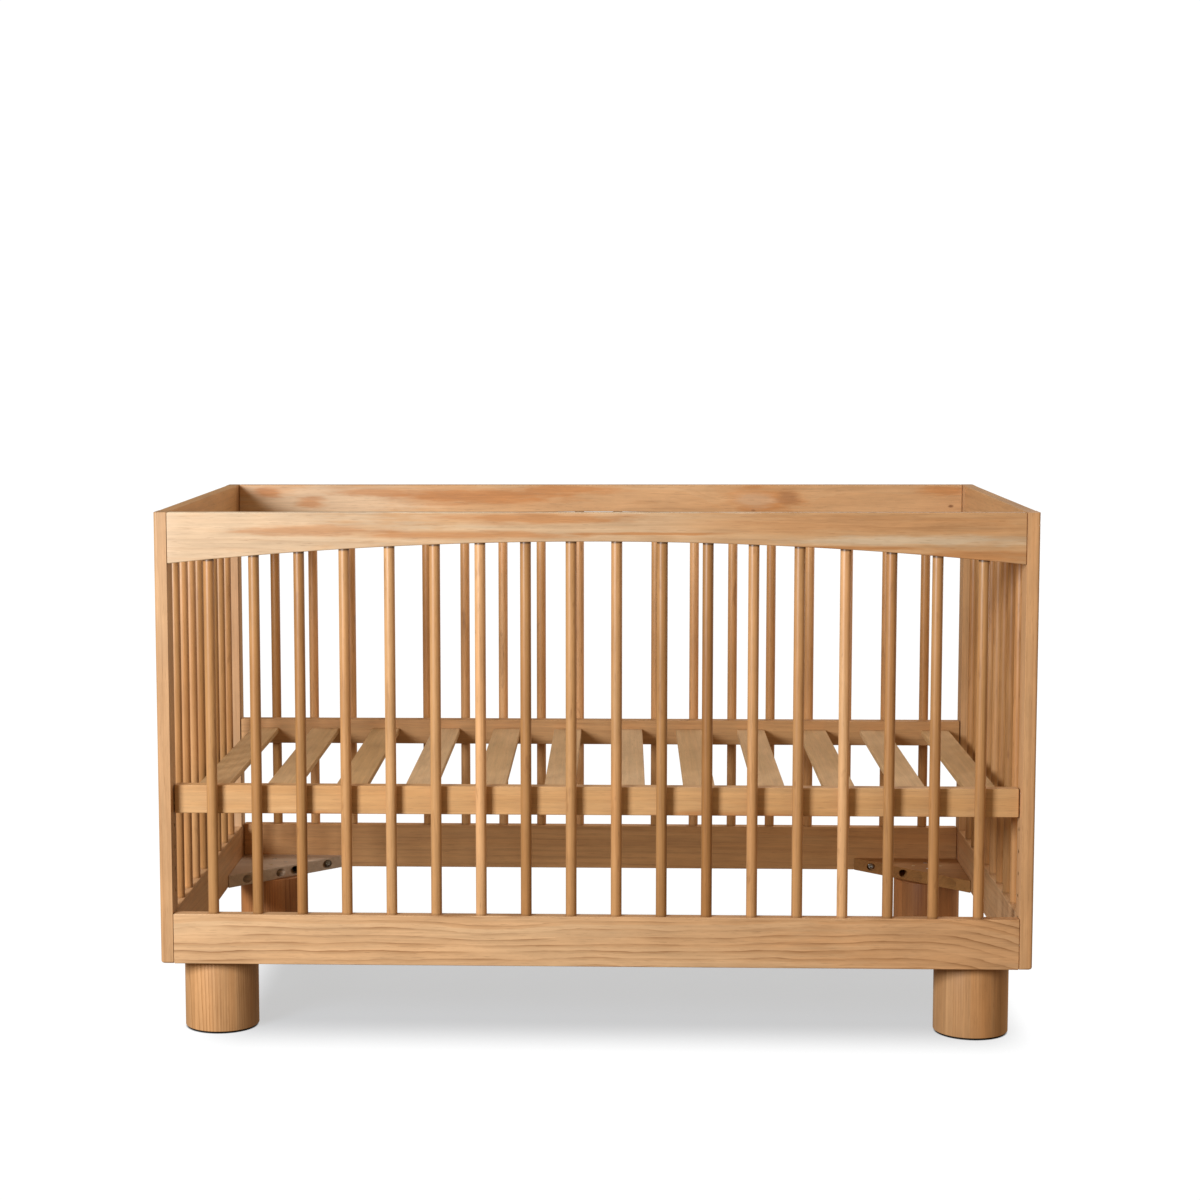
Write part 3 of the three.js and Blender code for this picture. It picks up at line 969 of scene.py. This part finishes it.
@dataclass
class Panel:
    """A side of the crib between its stiles: two rails and a row of round spindles.

    This one is a long side, under an arched top rail. The axis is the one it runs along.
    """

    side: str
    lower_node: str
    looks: dict[str, Pine]
    seed: int
    rise: float = 0.0
    shades: tuple[float, ...] = ()
    spindle_nodes: tuple[str, ...] = ()
    axis: int = 0
    top_name: str = "arched_rail"
    steps: tuple[int, int] = (48, 12)
    count: int = 18
    pitch: float = 70.5 * MM

    def build(self) -> None:
        """Makes the rails and the spindles."""
        span = STILE[0][self.axis]
        low, high = size_of(f"{self.side}_top_rail")
        tall = high.z - low.z
        bottom = size_of(self.lower_node)[0].z
        thick = (high - low)[1 - self.axis]
        shift = Vector((0.0, 0.0, 0.0))
        shift[1 - self.axis] = ((low + high) / 2)[1 - self.axis]
        turn = Matrix.Rotation(QUARTER * self.axis, 4, "Z")
        rails = (
            (self.top_name, "top", low.z, self.steps[0], self.rise, f"{self.side}_top_rail"),
            ("lower_rail", "bottom", bottom, self.steps[1], 0.0, self.lower_node),
        )
        for part, look, height, steps, rise, node in rails:
            size = (2 * (span - STILE_GAP), thick, tall)
            place = Matrix.Translation(shift + Vector((0.0, 0.0, height))) @ turn
            mesh = board(f"{self.side}_{part}", size, self.looks[look], place, steps, rise)
            show(f"{self.side}_{part}", mesh, ROOT, [node])
        values = {"Count": self.count, "Pitch": self.pitch, "Radius": SPINDLE_RADIUS, "Seed": self.seed}
        values |= {"Bottom": bottom + tall - HOUSING, "Top": low.z + HOUSING, "Seat": HOUSING}
        values |= {"Rise": self.rise, "Half Span": span, "Material": self.looks["spindle"].build()}
        mesh = SPINDLE_TREE.grow(f"{self.side}_spindles", values)
        if self.shades:
            own = mesh.attributes["length_shade"].data
            each = len(own) // len(self.shades)
            for i, item in enumerate(own):
                item.value = self.shades[i // each]
        placed(mesh, Matrix.Translation(shift) @ turn)
        show(f"{self.side}_spindles", mesh, ROOT, self.spindle_nodes)


@dataclass
class EndPanel(Panel):
    """The left or right end, under a straight top rail."""

    axis: int = 1
    top_name: str = "upper_rail"
    steps: tuple[int, int] = (8, 8)
    count: int = 8
    pitch: float = 73.3 * MM


@dataclass
class Stiles:
    """The four uprights, with a round outer edge and the holes of the mattress base."""

    looks: dict[Corner, Pine]
    edge: float = 1.5 * MM
    side_round: float = 5 * MM
    foot_round: float = 4 * MM
    hole: float = 3.4 * MM
    heights: int = 7
    step: float = 35 * MM

    def _holes(self) -> list[Bore]:
        """The row of bolt holes through the back right stile."""
        low, high = STILE
        bolt_low, bolt_high = size_of("base_bolt_back_right")
        bolt = (bolt_low + bolt_high) / 2
        return [
            Bore(
                ((low.x + high.x) / 2, bolt.y, bolt.z - i * self.step),
                2 * (high.x - low.x),
                (self.hole, self.hole),
                Run.ALONG_X,
            )
            for i in range(self.heights)
        ]

    def _plan(self, inset: float) -> list[Pair]:
        """The plan of the back right stile, its outer sides moved in."""
        low, high = STILE
        arc = rounding(self.side_round, 6)
        outer = [(high.x - inset - end, high.y - inset - side) for side, end in arc]
        return [(low.x, low.y), (high.x - inset, low.y), *outer, (low.x, high.y - inset)]

    def build(self) -> None:
        """Makes the stiles."""
        low, high = STILE
        levels = [(self._plan(side), low.z + end) for side, end in rounding(self.foot_round, 4)]
        levels.append((self._plan(0.0), high.z))
        for corner in Corner:
            name = f"{corner.name}_stile"
            mesh = cut_away(eased(loft(name, levels), self.edge), self._holes())
            placed(dressed(mesh, self.looks[corner].build()), corner.mirror)
            show(name, mesh, ROOT, [f"stile_{corner.name}"])


@dataclass
class CornerSupports:
    """The four corner plates with their bolts and screws, and the feet and glides under them.

    CORNER is where the inner faces of the back and right panels meet, at the plates' mid height.
    """

    plate_looks: dict[int, Pine]
    foot_looks: dict[Corner, Pine]
    leg: float = 189 * MM
    tip: float = 2 * MM
    gap: float = 0.3 * MM
    plate_edge: float = 1.2 * MM
    foot_edges: Pair = (1.2 * MM, 1.2 * MM)
    glide_edges: Pair = (0.4 * MM, 0.3 * MM)
    bolts: Pair = (107 * MM, 160 * MM)
    recess: float = 7.5 * MM
    seat: float = 16 * MM
    screw_circle: float = 24 * MM
    screw_head: float = 4 * MM
    screw_sink: float = 0.6 * MM

    def _screw_places(self) -> list[Pair]:
        """The foot screws of the back right corner, seen from above."""
        centre = (FOOT[0] + FOOT[1]) / 2
        turns = [QUARTER * i for i in range(4)]
        reach = self.screw_circle
        return [(centre.x + reach * math.cos(a), centre.y + reach * math.sin(a)) for a in turns]

    def _bores(self) -> list[Bore]:
        """The recesses of the bolts and the countersinks of the screws."""
        deep = (self.leg + self.seat) / 2
        radii = (self.recess, self.recess)
        long = self.leg - self.seat
        backs = [(CORNER.x - along, CORNER.y - deep, CORNER.z) for along in self.bolts]
        ends = [(CORNER.x - deep, CORNER.y - along, CORNER.z) for along in self.bolts]
        bores = [Bore(point, long, radii, Run.ALONG_Y, 32) for point in backs]
        bores += [Bore(point, long, radii, Run.ALONG_X, 32) for point in ends]
        height = PLATE[1].z - self.screw_head / 2 + 0.1 * MM
        sink = (self.screw_head * 0.4, self.screw_head * 1.15)
        return bores + [Bore((x, y, height), self.screw_head, sink) for x, y in self._screw_places()]

    def _plates(self) -> None:
        """The plates."""
        outline = [
            (CORNER.x - self.gap, CORNER.y - self.gap),
            (CORNER.x - self.leg, CORNER.y - self.gap),
            (CORNER.x - self.leg, CORNER.y - self.tip),
            (CORNER.x - self.tip, CORNER.y - self.leg),
            (CORNER.x - self.gap, CORNER.y - self.leg),
        ]
        levels = [(outline, PLATE[0].z), (outline, PLATE[1].z)]
        for corner in Corner:
            name = f"{corner.name}_plate"
            mesh = cut_away(eased(loft(name, levels), self.plate_edge, 2), self._bores())
            placed(dressed(mesh, self.plate_looks[corner.value[0]].build()), corner.mirror)
            show(name, mesh, ROOT, [f"corner_plate_{corner.name}"])

    def _feet(self) -> None:
        """The feet and the glides under them."""
        low, high = FOOT
        centre = (low + high) / 2
        rings = disc_rings((high.x - low.x) / 2, low.z, high.z, self.foot_edges)
        pad_low, pad_high = size_of("glide_back_right")
        pad_rings = disc_rings((pad_high.x - pad_low.x) / 2, pad_low.z, pad_high.z, self.glide_edges)
        felt = Felt().build()
        for corner in Corner:
            x, y = corner.value
            shift = Matrix.Translation((centre.x * x, centre.y * y, 0.0))
            name = corner.name
            foot = placed(ring_stack(f"{name}_foot", rings, FOOT_SIDES), shift)
            dressed(foot, self.foot_looks[corner].build())
            show(f"{name}_foot", foot, ROOT, [f"foot_{name}"])
            glide = placed(ring_stack(f"{name}_glide", pad_rings, GLIDE_SIDES), shift)
            show(f"{name}_glide", dressed(glide, felt), ROOT, [f"glide_{name}"])

    def _fasteners(self, zinc: bpy.types.Material) -> None:
        """The socket-head bolts in the plates' edges and the screws in their top faces."""
        bolts = []
        for along in self.bolts:
            bolts.append(((CORNER.x - along, CORNER.y - self.seat, CORNER.z), (0, -1, 0)))
            bolts.append(((CORNER.x - self.seat, CORNER.y - along, CORNER.z), (-1, 0, 0)))
        screws = [((x, y, PLATE[1].z - self.screw_sink), (0, 0, 1)) for x, y in self._screw_places()]
        set_fasteners("plate_bolts", socket_bolt(), bolts, ROOT, zinc, PLATE_BOLT_SEED)
        set_fasteners("foot_screws", flat_screw(self.screw_head), screws, ROOT, zinc, SCREW_SEED)

    def build(self, zinc: bpy.types.Material) -> None:
        """Makes the plates, feet, glides, bolts and screws."""
        self._plates()
        self._feet()
        self._fasteners(zinc)


def socket_bolt(head: float = 5 * MM, tall: float = 6 * MM, key: float = 5 * MM) -> bpy.types.Mesh:
    """A bolt head with a hexagon socket, standing on Z = 0."""
    wall = hexagon(key)
    rings: Rings = [(head, 0.0), (head, tall - 0.5 * MM), (head - 0.5 * MM, tall)]
    rings += [(lambda angle: wall(angle) + 0.3 * MM, tall), (wall, tall - 0.3 * MM)]
    rings += [(wall, tall * 0.45), (key * 0.25, tall * 0.35)]
    return ring_stack("socket_bolt", rings, 36)


def flat_screw(head: float) -> bpy.types.Mesh:
    """A countersunk screw head with a cross recess, its face at Z = 0."""
    slot = cross(head * 0.62, head * 0.16)
    rings: Rings = [(head * 0.42, -head * 0.7), (head, -0.3 * MM), (head * 0.97, 0.0), (slot, 0.0)]
    rings += [(lambda angle: slot(angle) * 0.8, -head * 0.35), (head * 0.1, -head * 0.4)]
    return ring_stack("flat_screw", rings, 32)


def cap_bolt(head: float, tall: float, shank: float, length: float) -> bpy.types.Mesh:
    """A furniture bolt with a low domed head on Z = 0 and its shank below."""
    wall = hexagon(4 * MM)
    rings: Rings = [(shank * 0.7, -length), (shank, -length + shank * 0.4), (shank, -0.1 * MM)]
    rings += [(head, 0.0), (head, tall * 0.4), (head * 0.93, tall * 0.75), (head * 0.72, tall)]
    rings += [(lambda angle: wall(angle) + 0.3 * MM, tall), (wall, tall - 0.4 * MM)]
    rings += [(wall, tall * 0.3), (0.6 * MM, tall * 0.2)]
    return ring_stack("cap_bolt", rings, 36)


def cross_dowel(radius: float = 5 * MM, deep: float = 8 * MM) -> bpy.types.Mesh:
    """The face of a barrel nut with a screwdriver slot, its face at Z = 0."""
    slot = cross(radius * 0.75, radius * 0.14)

    def single(angle: float) -> float:
        """One arm of the cross is closed, so that a plain slot is left."""
        open_arm = abs(math.cos(angle)) > abs(math.sin(angle))
        return slot(angle) if open_arm else min(slot(angle), radius * 0.2)

    rings: Rings = [(radius, -deep), (radius, -0.3 * MM), (radius - 0.3 * MM, 0.0), (single, 0.0)]
    rings += [(lambda angle: single(angle) * 0.95, -1.2 * MM)]
    return ring_stack("cross_dowel", rings, 32)


def set_fasteners(
    name: str,
    template: bpy.types.Mesh,
    places: Sequence[Fastening],
    body: str,
    finish: bpy.types.Material,
    seed: int,
    nodes: Iterable[str] = (),
) -> None:
    """Sets copies of one fastener at all four corners.

    Args:
        name: the piece's name.
        template: the fastener, along Z.
        places: the point and the axis of each copy at the back right corner.
        body: the CAD body that they ride on.
        finish: their material.
        seed: the seed of their own tones.
        nodes: the CAD nodes that they stand for.
    """
    spots = [
        [(x * way[0], y * way[1], way[2]) for way in spot]
        for x, y in (corner.value for corner in Corner)
        for spot in places
    ]
    start = bpy.data.meshes.new(name)
    start.from_pydata([point for point, _ in spots], [], [])
    axes = start.attributes.new("axis", "FLOAT_VECTOR", "POINT")
    for item, (_, axis) in zip(axes.data, spots):
        item.vector = axis
    holder = carried("template", template)
    mesh = FASTENER_TREE.grow(name, {"Template": holder, "Seed": seed, "Material": finish}, start)
    bpy.data.objects.remove(holder)
    show(name, mesh, body, nodes)


@dataclass
class MattressBase:
    """The height-adjustable base: two rails, twelve slats, four bolts and their barrel nuts."""

    rail_looks: dict[str, Pine]
    slat_look: Pine
    slats: int = 12
    pitch: float = 112 * MM
    tenon: float = 1.2 * MM
    shank: float = 3 * MM
    dowel_inset: float = 12 * MM
    dowel_sink: float = 0.15 * MM

    def _rails(self) -> None:
        """The front and back rails."""
        for side, look in self.rail_looks.items():
            low, high = size_of(f"base_rail_{side}")
            name = f"{side}_base_rail"
            place = Matrix.Translation((0.0, (low.y + high.y) / 2, low.z))
            show(name, board(name, high - low, look, place), BASE, [f"base_rail_{side}"])

    def _slats(self) -> None:
        """The row of slats between the rails."""
        low, high = size_of("base_slat_01")
        reach = size_of("base_rail_back")[0].y + self.tenon
        values = {"Count": self.slats, "Pitch": self.pitch, "Width": high.x - low.x, "Length": 2 * reach}
        values |= {"Thickness": high.z - low.z, "Underside": low.z, "Seed": SLAT_SEED}
        mesh = SLAT_TREE.grow("base_slats", values | {"Material": self.slat_look.build()})
        nodes = [f"base_slat_{i + 1:02d}" for i in range(self.slats)]
        show("base_slats", mesh, BASE, nodes)

    def _bolts(self, zinc: bpy.types.Material) -> None:
        """The bolts that hang the base, and the barrel nuts they turn in."""
        low, high = size_of("base_bolt_back_right")
        centre = (low + high) / 2
        face = STILE[1].x + STILE_GAP
        inner = size_of("base_rail_back")[0].y - self.dowel_sink
        bolts = [((face, centre.y, centre.z), (1, 0, 0))]
        nuts = [((low.x + self.dowel_inset, inner, centre.z), (0, -1, 0))]
        template = cap_bolt((high.y - low.y) / 2, high.x - face, self.shank, face - low.x)
        nodes = [f"base_bolt_{corner.name}" for corner in Corner]
        set_fasteners("base_bolts", template, bolts, BASE, zinc, BOLT_SEED, nodes)
        set_fasteners("base_barrel_nuts", cross_dowel(), nuts, BASE, zinc, NUT_SEED)

    def build(self, zinc: bpy.types.Material) -> None:
        """Makes the whole base."""
        self._rails()
        self._slats()
        self._bolts(zinc)


# -------------------------------------------------------------------- studio


@dataclass(frozen=True)
class SoftLight:
    """A square soft light: where it hangs, what it points at, its side, power and colour."""

    name: str
    place: Point
    aim: Point
    side: float
    power: float
    colour: Colour


LIGHTS = (
    SoftLight("key", (-2.25, -3.15, 1.6), (-0.1, -0.2, 0.45), 1.1, 190.0, (0.94, 0.985, 1.05)),
    SoftLight("side", (3.3, 2.2, 1.3), (0.6, 0.0, 0.45), 1.6, 48.0, (1.0, 0.93, 0.84)),
    SoftLight("fill", (3.2, -3.0, 2.0), (0.2, 0.0, 0.4), 2.5, 21.0, (1.0, 0.80, 0.56)),
    SoftLight("behind", (0.9, 2.9, 4.2), (0.0, 0.1, 0.4), 1.8, 70.0, (1.0, 0.96, 0.92)),
)


@dataclass
class Studio:
    """The floor, the lights and the camera."""

    place: Point = (0.0450, -4.1611, 1.0962)
    turn: float = 2.338
    tip: float = 5.993
    roll: float = -0.14
    lens: float = 73.95
    shift: float = 0.0643
    floor_reach: float = 6.0
    shade: Colour = (0.14, 0.152, 0.173)
    painted_contact_shadow: Colour = (0.035, 0.030, 0.026)
    shade_share: float = 0.475
    surround: Colour = (1.0, 0.74, 0.47)

    def camera(self) -> None:
        """The camera at the front, a little above the top rail."""
        data = bpy.data.cameras.new("camera")
        data.lens, data.sensor_width, data.shift_x = self.lens, 36.0, self.shift
        camera = carried("camera", data)
        turns = ((self.turn, "Z"), (90 - self.tip, "X"), (self.roll, "Z"))
        first, second, third = (Matrix.Rotation(math.radians(angle), 4, axis) for angle, axis in turns)
        camera.matrix_world = Matrix.Translation(self.place) @ (first @ second @ third)
        bpy.context.scene.camera = camera

    def _window(self, graph: Graph, value: Socket, rise: Pair, fall: Pair) -> Socket:
        """A number that rises to 1 over one stretch and falls back to 0 over another."""
        return graph.times(graph.remap(value, *rise), graph.remap(value, *fall, 1.0, 0.0))

    def floor(self) -> None:
        """A pale floor: a soft painted shadow under the crib, a dark painted contact shadow round each
        foot, and white elsewhere.
        """
        material, graph = new_material("floor_white")
        x, y, _ = graph.split(graph.position())
        # painted shadow under the crib
        long_way = self._window(graph, x, (-0.66, -0.54), (0.60, 0.72))
        short_way = self._window(graph, y, (-0.474, -0.25), (0.30, 0.56))
        share = graph.times(graph.times(long_way, short_way), self.shade_share)
        foot = (FOOT[0] + FOOT[1]) / 2
        feet = ((x, foot.x), (y, foot.y))
        gaps = [graph.minus(graph.math("ABSOLUTE", way), at) for way, at in feet]
        away = graph.vector("LENGTH", graph.combine(*gaps, 0.0))
        edge = (FOOT[1].x - FOOT[0].x) / 2
        # painted contact shadow round each foot
        painted_contact_shadow = graph.remap(away, edge - 4 * MM, edge + 2 * MM, 1.0, 0.0)
        colour = graph.mix(painted_contact_shadow, self.shade, self.painted_contact_shadow)
        dark = graph.node("ShaderNodeBsdfDiffuse", {"Color": colour}).outputs[0]
        clear = graph.node("ShaderNodeBsdfTransparent").outputs[0]
        inputs = {0: graph.math("MAXIMUM", share, painted_contact_shadow), 1: clear, 2: dark}
        mixed = graph.node("ShaderNodeMixShader", inputs)
        graph.node("ShaderNodeOutputMaterial", {"Surface": mixed.outputs[0]})

        far = self.floor_reach
        mesh = bpy.data.meshes.new("floor")
        corners = [(-far, -far, 0), (far, -far, 0), (far, far, 0), (-far, far, 0)]
        mesh.from_pydata(corners, [], [(0, 1, 2, 3)])
        carried("floor", dressed(mesh, material))

    def lights(self) -> None:
        """A white surround that lights the crib warmly, and the key, side, fill and back lights."""
        scene = bpy.context.scene
        scene.world = bpy.data.worlds.new("surround")
        scene.world.use_nodes = True
        graph = Graph(scene.world.node_tree)
        lit = graph.node("ShaderNodeBackground", {"Color": (*self.surround, 1.0), "Strength": 0.25})
        seen = graph.node("ShaderNodeBackground", {"Color": (1.0, 1.0, 1.0, 1.0), "Strength": 1.05})
        path = graph.node("ShaderNodeLightPath").outputs["Is Camera Ray"]
        choice = graph.node("ShaderNodeMixShader", {0: path, 1: lit.outputs[0], 2: seen.outputs[0]})
        graph.node("ShaderNodeOutputWorld", {0: choice.outputs[0]})
        for light in LIGHTS:
            data = bpy.data.lights.new(light.name, "AREA")
            data.shape, data.size, data.energy, data.color = "SQUARE", light.side, light.power, light.colour
            lamp = carried(light.name, data)
            lamp.location = light.place
            way = Vector(light.aim) - Vector(light.place)
            lamp.rotation_euler = way.to_track_quat("-Z", "Y").to_euler()
            lamp.visible_camera = False
        scene.view_settings.view_transform = "Standard"

    def build(self) -> None:
        """Sets up the studio."""
        self.camera()
        self.floor()
        self.lights()


# ---------------------------------------------------------------------- looks

CREAM = (0.655, 0.505, 0.335)
# a painted highlight along a rail's top edge
PAINTED_EDGE_HIGHLIGHT = (0.78, 0.64, 0.46)
ORANGE = (0.50, 0.22, 0.075)
BROWN = (0.36, 0.17, 0.07)
FRONT_SHADES = (
    *(-0.3, -0.7, -0.8, 0.3, 0.5, 0.2, 1.4, -0.6, 0.0),
    *(0.3, -0.7, -0.9, 0.5, 0.1, 1.5, -0.3, -0.2, -0.2),
)
BACK_SHADES = (
    *(-1.6, 0.6, 0.3, -0.3, -0.5, 0.4, 0.9, 0.3, 1.2),
    *(-1.3, -0.2, 1.0, 0.0, -0.1, 0.3, 1.1, -0.2, -0.8),
)
BACK_FLATTER = 3.6 * MM
STILE_TONES = (0.83, 0.98, 0.86, 0.96)
END_SEEDS = {"left": 12.0, "right": 15.0}
SPINDLE_LOOK = Pine(
    "spindle_pine", Grain.UPRIGHT,
    early=(0.505, 0.275, 0.112), late=(0.29, 0.125, 0.038), blush=(0.44, 0.200, 0.066),
    ring=0.004, ring_strength=0.45, tone_spread=0.22, paints_seat_shade=True, flecks=0.55,
)


def front_looks() -> dict[str, Pine]:
    """The finishes of the front panel.

    Returns:
        A finish for the top rail, the bottom rail and the spindles.
    """
    return {
        "top": Pine(
            "front_top_pine", Grain.LONG_RAIL,
            heart=(0.66, -0.31), ring=0.013, ring_strength=0.34, blush_share=0.3, tone=0.88,
            patches=(
                # cream sapwood at the left end, which also paints the sheen of the lamp on that end
                Patch((-0.60, 0.80), (0.45, 0.09), CREAM, 0.60),
                # painted highlight along the top edge of the rail
                Patch((-0.25, 0.8355), (0.70, 0.0040), PAINTED_EDGE_HIGHLIGHT, 0.80),
                Patch((-0.05, 0.81), (0.30, 0.05), CREAM, 0.35),
                Patch((-0.44, 0.806), (0.15, 0.011), ORANGE, 0.70),
                Patch((-0.20, 0.799), (0.22, 0.008), ORANGE, 0.80),
                Patch((-0.09, 0.825), (0.19, 0.011), ORANGE, 0.85),
                Patch((0.42, 0.816), (0.34, 0.018), ORANGE, 0.45),
                Patch((0.08, 0.801), (0.16, 0.003), ORANGE, 0.90),
                Patch((0.50, 0.791), (0.24, 0.010), CREAM, 0.80),
                Patch((0.34, 0.779), (0.22, 0.004), ORANGE, 0.90),
                Patch((0.57, 0.766), (0.14, 0.012), ORANGE, 0.80),
            ),
        ),
        "bottom": Pine(
            "front_bottom_pine", Grain.LONG_RAIL,
            early=(0.61, 0.395, 0.215), late=(0.30, 0.14, 0.052), blush_share=0.35, tone=0.98,
            heart=(0.06, -0.33), ring=0.0112, ring_strength=1.1,
            wave=0.014, ripple=0.016, sweep=(0.46, 0.60), lean=-0.012,
            patches=(Patch((0.62, 0.165), (0.40, 0.09), ORANGE, 0.35),),
        ),
        "spindle": replace(SPINDLE_LOOK, tone=0.95, tone_spread=0.25, heart=(0.03, 0.05)),
    }


def back_looks() -> dict[str, Pine]:
    """The finishes of the back panel.

    Returns:
        A finish for the top rail, the bottom rail and the spindles.
    """
    return {
        "top": Pine(
            "back_top_pine", Grain.LONG_RAIL,
            heart=(0.80, 0.40), ring=0.016, ring_strength=0.30, seed=4.0,
            knots=(
                Knot((0.290, 0.804), 0.020, 0.10),
                Knot((0.283, 0.787), 0.003, 0.6),
                Knot((0.642, 0.795), 0.0035),
            ),
            patches=(
                Patch((-0.50, 0.80), (0.24, 0.05), CREAM, 0.55),
                Patch((-0.606, 0.820), (0.035, 0.012), ORANGE, 1.00),
                Patch((-0.530, 0.802), (0.035, 0.013), ORANGE, 0.80),
                Patch((-0.405, 0.820), (0.10, 0.009), ORANGE, 0.75),
                Patch((-0.22, 0.812), (0.20, 0.018), ORANGE, 1.00),
                Patch((-0.06, 0.824), (0.12, 0.012), ORANGE, 0.90),
                Patch((0.298, 0.805), (0.085, 0.030), ORANGE, 1.00),
                Patch((0.285, 0.807), (0.052, 0.017), CREAM, 0.42),
                Patch((0.345, 0.810), (0.026, 0.016), BROWN, 0.80),
                Patch((0.63, 0.823), (0.06, 0.011), ORANGE, 0.85),
            ),
        ),
        "bottom": Pine(
            "back_bottom_pine", Grain.LONG_RAIL,
            early=(0.60, 0.335, 0.145), blush=(0.52, 0.25, 0.090),
            heart=(0.08, 0.40), ring=0.0095, ring_strength=0.6, seed=7.0,
        ),
        "spindle": replace(SPINDLE_LOOK, name="back_spindle_pine", tone=1.17, seed=3.0),
    }


def end_looks(side: str, seed: float) -> dict[str, Pine]:
    """The finishes of the left or right end."""
    way = -1 if side == "left" else 1
    return {
        "top": Pine(
            f"{side}_top_pine", Grain.END_RAIL,
            early=(0.60, 0.35, 0.155), heart=(0.86, 0.72 * way), seed=seed,
            ring=0.012, tone=0.97 - 0.03 * way,
        ),
        "bottom": Pine(f"{side}_bottom_pine", Grain.END_RAIL, heart=(0.09, 0.72 * way), seed=seed + 1),
        "spindle": replace(SPINDLE_LOOK, name=f"{side}_spindle_pine", seed=seed),
    }


def stile_look(corner: Corner, index: int) -> Pine:
    """The finish of the stile at a corner."""
    return Pine(
        f"{corner.name}_stile_pine", Grain.UPRIGHT,
        ring=0.006, ring_strength=0.4, seed=20.0 + index, lean=0.005, wave=0.006, ripple=0.003,
        heart=(0.62 * corner.value[0], 0.31 * corner.value[1]), tone=STILE_TONES[index],
    )


def foot_look(corner: Corner, index: int) -> Pine:
    """The finish of the foot at a corner: the back ones are darker and redder, which paints the warm shade
    under the crib, and the left ones more ringed.
    """
    back, right = index // 2, index % 2
    return Pine(
        f"{corner.name}_foot_pine", Grain.UPRIGHT,
        # the darker, redder back colours paint the warm shade under the crib
        early=((0.64, 0.355, 0.160), (0.54, 0.235, 0.085))[back],
        late=((0.36, 0.16, 0.050), (0.28, 0.09, 0.025))[back],
        blush=((0.53, 0.25, 0.090), (0.46, 0.17, 0.050))[back],
        ring_strength=(1.0, 0.40)[right], blush_share=(0.35, 0.75)[right],
        stave_start=(0.007, 0.020)[right],
        stave=0.0335, seed=30.0 + index, tone=0.91, ring=0.0042, lean=0.01, wave=0.004, ripple=0.002,
    )


def plate_looks() -> dict[int, Pine]:
    """The finishes of the left (-1) and right (1) corner plates."""
    left = Pine(
        "left_plate_pine", Grain.FLAT,
        early=(0.57, 0.43, 0.31), late=(0.34, 0.23, 0.15), blush=(0.47, 0.34, 0.23),
        seed=40.0, roughness=0.6,
    )
    right = Pine(
        "right_plate_pine", Grain.FLAT,
        early=(0.48, 0.235, 0.070), late=(0.27, 0.11, 0.03), blush=(0.42, 0.18, 0.05),
        seed=42.0, tone=0.85, roughness=0.7,
    )
    return {-1: left, 1: right}


def base_looks() -> tuple[dict[str, Pine], Pine]:
    """The finishes of the base rails, and that of the slats."""
    front = Pine(
        "front_base_rail_pine", Grain.LONG_RAIL,
        early=(0.60, 0.36, 0.165), blush=(0.55, 0.28, 0.100),
        heart=(0.33, -0.30), seed=50.0, ring=0.014, ring_strength=0.25, tone=0.95,
        patches=(
            Patch((-0.45, 0.352), (0.16, 0.012), ORANGE, 0.80),
            Patch((-0.15, 0.345), (0.20, 0.010), ORANGE, 0.75),
            Patch((0.22, 0.355), (0.18, 0.012), ORANGE, 0.80),
            Patch((0.52, 0.345), (0.14, 0.014), ORANGE, 0.85),
        ),
    )
    back = Pine(
        "back_base_rail_pine", Grain.LONG_RAIL,
        early=(0.60, 0.34, 0.145), heart=(0.33, 0.37), seed=51.0, tone=0.90,
    )
    slat = Pine(
        "slat_pine", Grain.SLAT,
        early=(0.605, 0.390, 0.195), late=(0.46, 0.27, 0.12), blush=(0.57, 0.36, 0.165),
        ring_strength=0.3, tone_spread=0.1, roughness=0.65,
    )
    return {"front": front, "back": back}, slat


# ----------------------------------------------------------------------- main


def main() -> None:
    """Builds the crib, piece by piece, and the studio round it."""
    logging.basicConfig(level=logging.INFO, format="%(name)s %(message)s")
    Studio().build()
    zinc = Zinc().build()
    spindles = tuple(f"front_spindle_{i + 1:02d}" for i in range(18))
    Panel("front", "front_bottom_rail", front_looks(), 1, ARCH_RISE, FRONT_SHADES, spindles).build()
    back_rise = ARCH_RISE - BACK_FLATTER
    Panel("back", "back_spindle_rail", back_looks(), 9, back_rise, BACK_SHADES).build()
    for side, seed in END_SEEDS.items():
        EndPanel(side, f"{side}_spindle_rail", end_looks(side, seed), int(seed)).build()
    Stiles({corner: stile_look(corner, i) for i, corner in enumerate(Corner)}).build()
    feet = {corner: foot_look(corner, i) for i, corner in enumerate(Corner)}
    CornerSupports(plate_looks(), feet).build(zinc)
    MattressBase(*base_looks()).build(zinc)


if __name__ == "__main__":
    main()
